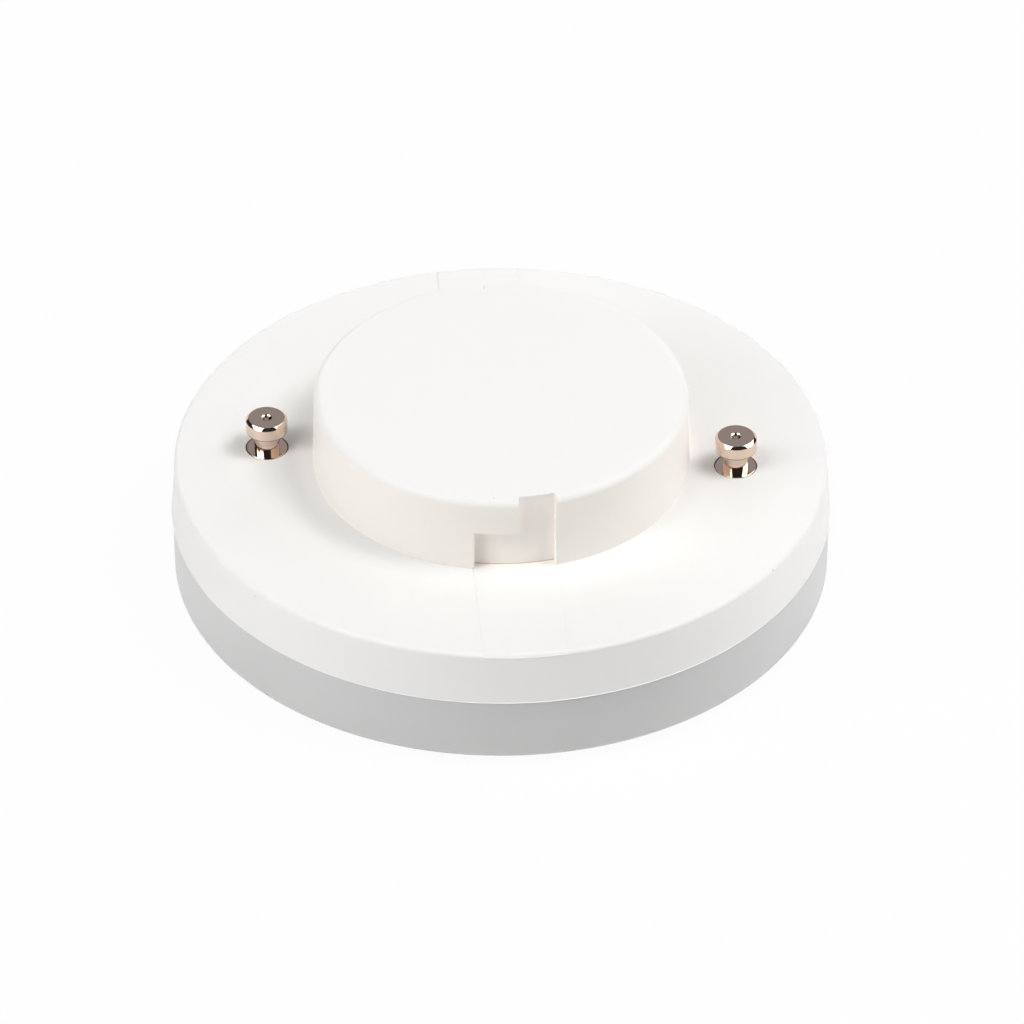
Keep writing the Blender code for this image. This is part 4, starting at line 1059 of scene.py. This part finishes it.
# Name, azimuth, elevation, width, height, radiance and whether it lights the lamp or is seen in its metal.
# The bright faces that the pins reflect are panels of their own, apart from those that do the lighting.
LIGHTS = (
    ("right_key", 90, 60, 0.414, 0.42, 8.74, "lights"),
    ("right_low", 90, 12, 0.524, 0.3, 4.12, "lights"),
    ("right_rear", 120, 35, 0.439, 0.42, 2.09, "lights"),
    ("left_key", -60, 35, 0.439, 0.42, 4.77, "lights"),
    ("left_high", -45, 60, 0.414, 0.42, 4.15, "lights"),
    ("left_low", -60, 12, 0.524, 0.3, 3.99, "lights"),
    ("left_rear", -150, 35, 0.439, 0.42, 1.05, "lights"),
    ("front_fill", 30, 35, 0.439, 0.42, 2.12, "lights"),
    ("rear_low", 180, 12, 0.524, 0.3, 5.9, "lights"),
    ("left_face", -68, 55, 0.88, 0.7, 5.5, "shines"),
    ("left_corner", -48, 41, 0.5, 0.28, 5.5, "shines"),
    ("right_face", 107, 45, 0.99, 0.86, 5.5, "shines"),
)


def around_lamp(azimuth, elevation):
    """The direction out from the lamp; azimuth 0 is the -Y side and 90 the +X side."""
    a = math.radians(azimuth)
    e = math.radians(elevation)
    return Vector((math.sin(a) * math.cos(e), -math.cos(a) * math.cos(e), math.sin(e)))


def aim(light, azimuth, elevation):
    """Stand a light round the lamp and point its -Z at it."""
    out = around_lamp(azimuth, elevation)
    light.location = LIGHT_AIM + out * LIGHT_DISTANCE
    light.rotation_mode = "QUATERNION"
    light.rotation_quaternion = out.to_track_quat("Z", "Y")


def make_lights():
    for name, azimuth, elevation, width, height, radiance, part in LIGHTS:
        data = bpy.data.lights.new(name, "AREA")
        data.shape = "RECTANGLE"
        data.size = width
        data.size_y = height
        data.energy = radiance * math.pi * width * height
        light = link(name, data)
        aim(light, azimuth, elevation)
        light.visible_camera = False
        light.visible_diffuse = part == "lights"
        light.visible_glossy = part == "shines"


def bare_material(name):
    """A material with nothing but an output, and that output's surface socket."""
    material = bpy.data.materials.new(name)
    material.use_nodes = True
    tree = material.node_tree
    tree.nodes.clear()
    output = add_node(tree, "ShaderNodeOutputMaterial")
    return material, tree, output.inputs["Surface"]


def seen_directly(tree):
    """1 for camera, glossy and transmission rays, and 0 for those that carry diffuse light."""
    path = add_node(tree, "ShaderNodeLightPath")
    total = path.outputs["Is Camera Ray"]
    for name in ("Is Glossy Ray", "Is Transmission Ray"):
        most = add_node(tree, "ShaderNodeMath", {"operation": "MAXIMUM"})
        tree.links.new(total, most.inputs[0])
        tree.links.new(path.outputs[name], most.inputs[1])
        total = most.outputs[0]
    return total


def make_world():
    """White where it is seen, and black for the rays that would carry its light."""
    world = bpy.data.worlds.new("studio")
    bpy.context.scene.world = world
    world.use_nodes = True
    tree = world.node_tree
    background = tree.nodes["Background"]
    colour = mix_colours(tree, seen_directly(tree), BLACK, WHITE)
    tree.links.new(colour, background.inputs["Color"])


def make_floor():
    """A plain white floor that keeps a faint shadow under the lamp."""
    shape = bmesh.new()
    bmesh.ops.create_grid(shape, x_segments=1, y_segments=1, size=FLOOR_HALF)
    floor = from_bmesh("floor", shape)
    material, tree, surface = bare_material("floor_white")
    paint = add_node(tree, "ShaderNodeBsdfDiffuse", Color=(*FLOOR_PAINT, 1))
    glow = add_node(tree, "ShaderNodeEmission", Color=(*WHITE, 1), Strength=1.0)
    share = add_node(tree, "ShaderNodeMath", {"operation": "MULTIPLY"})
    tree.links.new(seen_directly(tree), share.inputs[0])
    share.inputs[1].default_value = FLOOR_GLOW
    blend = add_node(tree, "ShaderNodeMixShader")
    tree.links.new(share.outputs[0], blend.inputs["Fac"])
    tree.links.new(paint.outputs[0], blend.inputs[1])
    tree.links.new(glow.outputs[0], blend.inputs[2])
    tree.links.new(blend.outputs[0], surface)
    give(floor, material)


def make_surround():
    """The unlit studio round the set, seen in the pins alone: dark, with a grey wall behind the lamp."""
    shape = bmesh.new()
    bmesh.ops.create_uvsphere(shape, u_segments=INNER_ROUND, v_segments=INNER_ROUND, radius=DOME_RADIUS)
    below = [corner for corner in shape.verts if corner.co.z < DOME_CUT]
    bmesh.ops.delete(shape, geom=below, context="VERTS")
    dome = from_bmesh("surround", shape)
    material, tree, surface = bare_material("surround_grey")
    offset = add_node(tree, "ShaderNodeVectorMath", {"operation": "DISTANCE"})
    tree.links.new(object_coordinates(tree), offset.inputs[0])
    offset.inputs[1].default_value = around_lamp(BACKDROP_AZIMUTH, BACKDROP_ELEVATION) * DOME_RADIUS
    ramp = add_node(tree, "ShaderNodeMapRange", {"interpolation_type": "SMOOTHSTEP"})
    ramp.inputs["From Min"].default_value = BACKDROP_REACH
    ramp.inputs["From Max"].default_value = BACKDROP_REACH * BACKDROP_EDGE
    ramp.inputs["To Min"].default_value = BACKDROP_GREY
    ramp.inputs["To Max"].default_value = STUDIO_DARK
    tree.links.new(offset.outputs["Value"], ramp.inputs["Value"])
    glow = add_node(tree, "ShaderNodeEmission", Color=(*STUDIO_TINT, 1))
    tree.links.new(ramp.outputs["Result"], glow.inputs["Strength"])
    tree.links.new(glow.outputs[0], surface)
    give(dome, material)
    dome.visible_camera = False
    dome.visible_diffuse = False
    dome.visible_transmission = False
    dome.visible_shadow = False


def make_camera():
    data = bpy.data.cameras.new("camera")
    data.sensor_width = SENSOR_WIDTH
    data.lens = FOCAL_LENGTH
    data.clip_start = 0.05
    data.clip_end = 20.0
    camera = link("camera", data)
    place, right, up, forward = camera_axes()
    camera.matrix_world = Matrix.Translation(place) @ Matrix((right, up, -forward)).transposed().to_4x4()
    bpy.context.scene.camera = camera


bpy.context.scene.view_settings.view_transform = "Standard"
make_lamp()
make_floor()
make_surround()
make_world()
make_lights()
make_camera()
